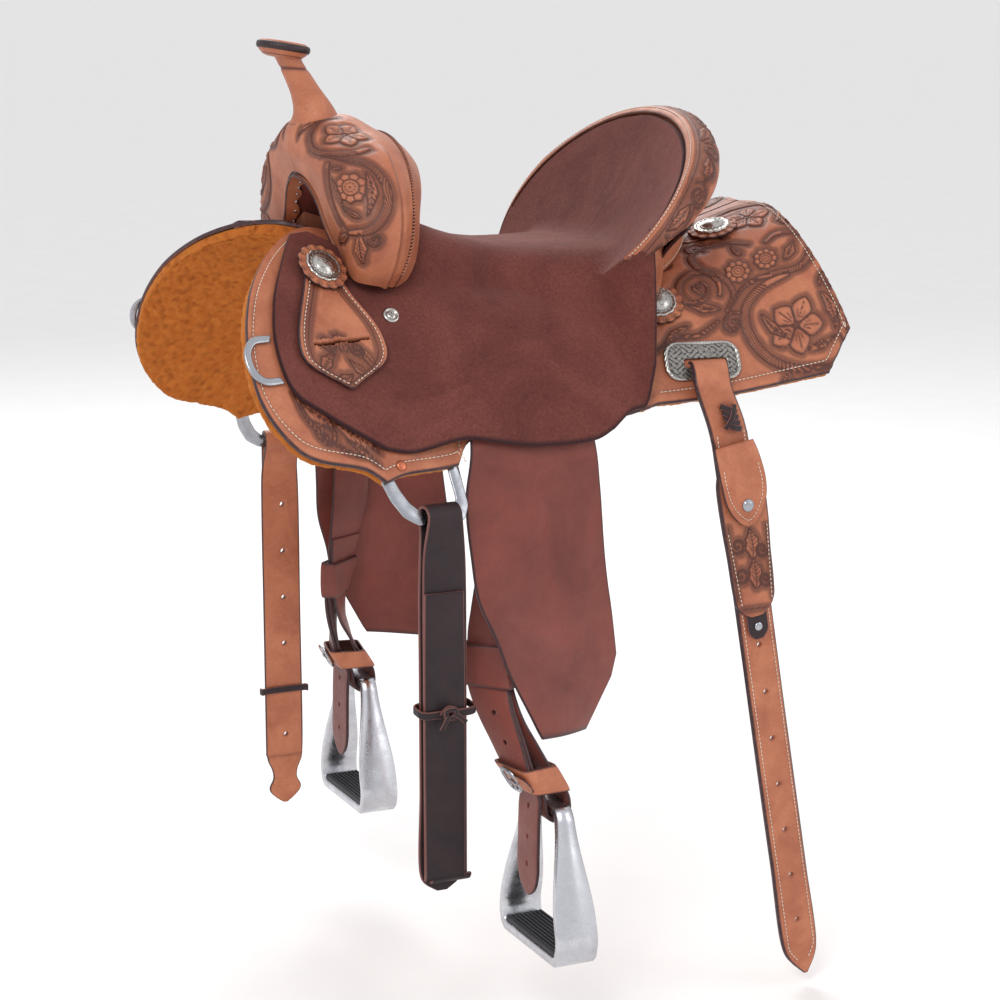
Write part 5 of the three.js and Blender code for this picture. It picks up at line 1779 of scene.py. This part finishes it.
def build_fenders():
    """Fender leather: the flat top tucks under the jockey and bends where the fender folds outwards."""
    edges = []
    for side in (0, 1):
        line = []
        for row in FENDER_ROWS:
            point = row[side]
            line.append(on_face(skirt_z, *point, 9.0) if len(point) == 2 else np.array(point, float))
        edges.append(np.array(line))
    front = even(curve(edges[0][:-1], 1.0), count=130)
    rear = even(curve(edges[1][:-2], 1.0), count=118)
    corner = even(np.array([edges[1][-2], edges[1][-1]]), count=13)[1:]
    rear = np.vstack([rear, corner])
    last = edges[0][-1]
    front = np.vstack([front[:-12], even(np.vstack([front[-12], last]), count=12)])
    t = np.linspace(0, 1, 90)[None, :, None]
    points = lerp(front[:, None], rear[:, None], t)
    points[:16, :, :] = on_skirt_rows(points[:16], 9.0)
    belly = 3.0 * np.sin(math.pi * t) * smooth(20, 90, np.arange(130))[:, None, None]
    points += np.array([0, -1.0, 0]) * belly
    out = grid_normals(points)
    if out[60, 40, 1] > 0:
        out = -out
    wave = 0.8 * value_noise(points, 60.0, 6.0) + 0.3 * value_noise(points, 20.0, 2.0)
    shape = sheet(points + out * wave[..., None], points + out * wave[..., None] - out * STRAP)
    for side in ("near", "off"):
        made = to_object(shape, f"fender_leather_{side}", FENDER, mirror=side == "off")
        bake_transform(made)
        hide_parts(f"fender_{side}")


def on_skirt_rows(points, lift):
    """Moves points that lie under the jockey onto the skirt, a given height off it."""
    x, y = points[..., 0], points[..., 1]
    hidden = y > -199
    draped = on_face(skirt_z, x, y, lift)
    return np.where(hidden[..., None], draped, points)


# ---------------------------------------------------------------- stirrup leathers
PACK_ROWS = [(-172, -86, -199.6, 0), (-230, -89, -200, 2), (-300, -95, -200, 12),
             (-350, -103, -201, 30), (-390, -108, -206, 48),
             (-415, -107, -214, 56), (-440, -100, -226, 64), (-480, -84, -245, 78),
             (-508, -68, -256, 90), (-640, -66, -256, 90)]


def pack(z):
    """Middle, across and rearward directions of the hanging strap layers at a height."""
    rows = np.array(PACK_ROWS, float)[::-1]
    x, y, turn = (np.interp(z, rows[:, 0], rows[:, k]) for k in (1, 2, 3))
    turn = math.radians(turn)
    across = np.array([math.cos(turn), -math.sin(turn), 0])
    return np.array([x, y, z]), across, np.array([math.sin(turn), math.cos(turn), 0])


def layer(rows):
    """Strap stations through [height, offset rearward, width]."""
    stations = []
    for k in range(len(rows) - 1):
        (z0, o0, w0), (z1, o1, w1) = rows[k], rows[k + 1]
        steps = max(1, int(abs(z1 - z0) / 14))
        for i in range(steps + (k == len(rows) - 2)):
            t = i / steps
            middle, across, rearward = pack(lerp(z0, z1, t))
            stations.append(station(middle + rearward * lerp(o0, o1, t), across, lerp(w0, w1, t)))
    return stations


def build_stirrup_leathers():
    top = []
    for x, y in [(-64, -99), (-68, -114), (-72, -130), (-77, -148), (-80, -165), (-84, -187),
                 (-85, -195)]:
        n = normal_of(skirt_z, np.float64(x), np.float64(y))
        top.append(station(on_face(skirt_z, x, y, 2.8), (1, 0, -n[0] / n[2])))
    top.append(station((-86, -199.6, -170), (1, 0, 0)))
    pair(strap(top, 3.0), "leather_top_strap", FENDER, node="leather_top")

    w = STRAP_WIDTH
    front = layer([(-174, 0, w), (-230, 0, w), (-300, 0, w), (-350, -1.8, w), (-390, -2.2, w),
                   (-440, -5, w), (-480, -10.5, w), (-508, -13, w)])
    bar = []
    for i in range(1, 12):
        turn = math.pi + math.pi * i / 12
        bar.append(station(BAR + [13 * math.cos(turn), 0, 13 * math.sin(turn)], (0, -1, 0)))
    rear = layer([(-338, 1.4, w), (-350, 1.4, w), (-390, 2.2, w), (-440, 5, w), (-480, 10.5, w),
                  (-508, 13, w)])[::-1]
    tail_rows = layer([(-366, -5.2, w), (-390, -5.9, w), (-440, -9.4, w), (-480, -14.8, w),
                       (-508, -18, w), (-540, -19.5, w),
                       (-586, -21, w), (-600, -21, 36), (-608, -21, 22), (-612.5, -21, 7)])
    shape = strap(front + bar + rear, 3.0, 0.2, 8).join(strap(tail_rows, 3.0, 0.2, 8))
    holes = []
    for z in (-215, -245, -275, -430, -458, -520, -552, -580):
        middle, _, rearward = pack(z)
        holes.append([middle - rearward * 32, middle + rearward * (-10 if z < -500 else 1.0)])
    pair(shape, "stirrup_leather_strap", FENDER, "leathers_", "stirrup_leather", cylinders(holes, 2.8))
    build_sleeve_and_hobble()


def band_round_pack(z_top, z_low, half_width, half_depth, offset, thick):
    """Leather band of rounded-box section round the strap layers."""
    outer, inner, sides = 14, 5, 72
    grown = thick * (1 - 0.35 * abs(np.linspace(-1, 1, outer)) ** 6)
    levels = np.concatenate([np.linspace(z_top, z_low, outer), np.linspace(z_low, z_top, inner)])
    turn = np.linspace(0, 2 * math.pi, sides, endpoint=False)
    rings = []
    for z, more in zip(levels, [*grown, *np.zeros(inner)]):
        middle, across, rearward = pack(z)
        wide, deep = rounded_box(turn, half_width + more, half_depth + more, 0.22)
        rings.append(middle + wide[:, None] * across + (offset + deep)[:, None] * rearward)
    edge = np.zeros((outer + inner, sides))
    edge[[0, outer - 1]], edge[outer:] = 1.0, 0.6
    shape = Shape()
    index = shape.add(np.array(rings), 0.0, edge)
    shape.grid(index, wrap_rows=True, wrap_cols=True)
    return shape


def build_sleeve_and_hobble():
    sleeve = band_round_pack(-365, -406, 24.3, 8.0, -2.2, 2.3)
    pair(sleeve, "leather_sleeve_band", FENDER, "leathers_", "leather_sleeve")
    hobble = band_round_pack(-479, -503, 24.5, 19.2, -2.4, 2.5)
    pair(hobble, "hobble_strap_band", TAN, "leathers_", "hobble_strap")
    face = [pack(z)[0] + pack(z)[2] * -24.8 for z in (-480, -502, -491)]
    up = unit(face[0] - face[1])
    across = pack(-491)[1]
    out = unit(np.cross(across, up))
    m = frame_of(across, up, out, face[2] + out)
    outer, inner = matched_loops(stadium(13, 14, corner=9), stadium(8.6, 10, corner=6), 120, 1)
    shape = ring_plate(outer, inner, 3.2, m, 1.2)
    bar = strap([station(placed(m, np.array([-1, b, 1.4])), across, 3.0, 2.4) for b in (-13, 0, 13)], 3.0)
    prong_run = [(-1, 3.2), (4, 3.8), (9, 3.8), (13.5, 3.4)]
    prong = [station(placed(m, np.array([a, 0.0, h])), up, 2.4, 2.0) for a, h in prong_run]
    pair(shape.join(bar).join(strap(prong, 1.5)), "hobble_buckle_steel", STEEL, "leathers_",
         "hobble_buckle")
    end = []
    for a, width in [(-14, 19), (0, 18), (12, 18), (24, 17), (31, 15), (36, 6)]:
        at = np.array([a, 0.4 * (a > 12), 0.6 + 0.4 * (a > 10)])
        end.append(station(placed(m, at), up, width, 2.0))
    pair(strap(end, 2.0, 0.2), "hobble_strap_end", TAN, "leathers_")


# ---------------------------------------------------------------- stirrups
def build_stirrups():
    outer = [(-30, 4), (30, 4), (36, 1.5), (40.5, -6), (54, -62), (68.5, -120), (69, -130), (66, -143),
             (58, -150), (-58, -150),
             (-66, -143), (-69, -130), (-68.5, -120), (-54, -62), (-40.5, -6), (-36, 1.5)]
    inner = [(-27, -4), (27, -4), (30.5, -7), (46, -64), (60, -120), (60, -128), (57.5, -138),
             (53, -141), (-53, -141), (-57.5, -138),
             (-60, -128), (-60, -120), (-46, -64), (-30.5, -7)]
    a, b = matched_loops(outer, inner, 420, 3)
    rows = []
    for share, side in [(0.0, -0.47), (0.0, 0.47), (0.12, 0.495), (0.3, 0.5), (0.7, 0.5), (0.88, 0.495),
                        (1.0, 0.47), (1.0, -0.47),
                        (0.88, -0.495), (0.7, -0.5), (0.3, -0.5), (0.12, -0.495)]:
        loop = lerp(a, b, share)
        depth = lerp(18, 44, smooth(0, 110, -loop[:, 1]))
        rows.append(np.column_stack([depth * side, loop[:, 0], loop[:, 1]]) + BAR)
    shape = Shape()
    index = shape.add(np.array(rows))
    shape.grid(index, wrap_rows=True, wrap_cols=True)
    pair(shape, "stirrup_frame", ALUMINIUM, "stirrup_foot_", "stirrup")
    build_tread()


def build_tread():
    """Ribbed rubber tread, its ribs running across the foot."""
    x = np.linspace(-20, 20, 161)
    phase = (x + 20) / 40 * 9
    rib = 2.3 * smooth(0.12, 0.34, abs((phase % 1) - 0.5)) * (abs(x) < 19.2)
    y = np.linspace(-56, 56, 90)
    rows, dark = [], []
    for yy in y:
        end = smooth(0, 5, 56 - abs(yy))
        top = 6.9 - rib * end - 1.4 * (1 - smooth(0, 2.2, 56 - abs(yy)))
        top = top - 1.2 * (1 - smooth(0, 1.6, 20 - abs(x)))
        section_row = np.column_stack([x, np.full_like(x, yy), top])
        base = np.column_stack([[20.0, -20.0], [yy, yy], [0.0, 0.0]])
        rows.append(np.vstack([section_row, base]))
        dark.append(np.concatenate([smooth(0.3, 1.6, rib * end), [0, 0]]))
    points = np.array(rows) + BAR + [0, 0, -140.6]
    shape = Shape()
    shape.tube(shape.add(points, np.array(dark)))
    pair(shape, "stirrup_tread_rubber", RUBBER, "stirrup_foot_", "stirrup_tread")


# ---------------------------------------------------------------- tree, stage, camera
def finish_tree():
    """The hidden tree keeps its CAD shapes and gets rawhide and steel finishes."""
    for name in ("tree_bar_near", "tree_bar_off", "tree_cantle", "horn_core"):
        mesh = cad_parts[name].data
        mesh.materials.clear()
        mesh.materials.append(STEEL if name == "horn_core" else RAWHIDE)


def build_stage():
    size = 400.0
    low = cad_box[0][2] - 0.012
    mesh = bpy.data.meshes.new("floor")
    corners = [(x * size, y * size, low) for x, y in ((-1, -1), (1, -1), (1, 1), (-1, 1))]
    mesh.from_pydata(corners, [], [(0, 1, 2, 3)])
    mesh.materials.append(floor_material("pale floor"))
    floor = bpy.data.objects.new("floor", mesh)
    bpy.context.scene.collection.objects.link(floor)
    world = bpy.data.worlds.new("studio")
    world.use_nodes = True
    world.node_tree.nodes["Background"].inputs[0].default_value = rgb(252, 252, 255)
    world.node_tree.nodes["Background"].inputs[1].default_value = 0.9
    bpy.context.scene.world = world
    bpy.context.scene.view_settings.view_transform = "Standard"
    lamp("key", (-2.2, -2.6, 2.6), 58, 1.4)
    lamp("fill", (2.6, -2.2, 1.2), 18, 2.0)
    lamp("rim", (0.6, 2.8, 2.4), 54, 1.8)


def lamp(name, place, power, size):
    data = bpy.data.lights.new(name, "AREA")
    data.energy, data.size = power, size
    made = bpy.data.objects.new(name, data)
    made.location = Vector(place) + MIDDLE
    made.rotation_euler = (-Vector(place)).to_track_quat("-Z", "Y").to_euler()
    bpy.context.scene.collection.objects.link(made)


def build_camera():
    target = Vector(([0, 0, CAMERA["look_at_z"]] - ORIGIN) * MM)
    azimuth, elevation = math.radians(CAMERA["azimuth"]), math.radians(CAMERA["elevation"])
    level = math.cos(elevation)
    back = Vector((math.sin(azimuth) * level, -math.cos(azimuth) * level, math.sin(elevation)))
    data = bpy.data.cameras.new("camera")
    data.lens, data.sensor_width = CAMERA["lens"], 36.0
    made = bpy.data.objects.new("camera", data)
    made.location = target + back * CAMERA["distance"]
    made.rotation_euler = (-back).to_track_quat("-Z", "Y").to_euler()
    bpy.context.scene.collection.objects.link(made)
    bpy.context.scene.camera = made


# ---------------------------------------------------------------- assembly
build_skirts()
build_fleece()
build_swell()
build_horn()
build_seat()
build_roll()
build_cantle_back()
build_cantle_sides()
build_conchos()
build_screws()
build_keepers()
build_hardware()
build_flank_billets()
build_latigo()
build_off_billet()
build_fenders()
build_stirrup_leathers()
build_stirrups()
finish_tree()
build_stage()
build_camera()
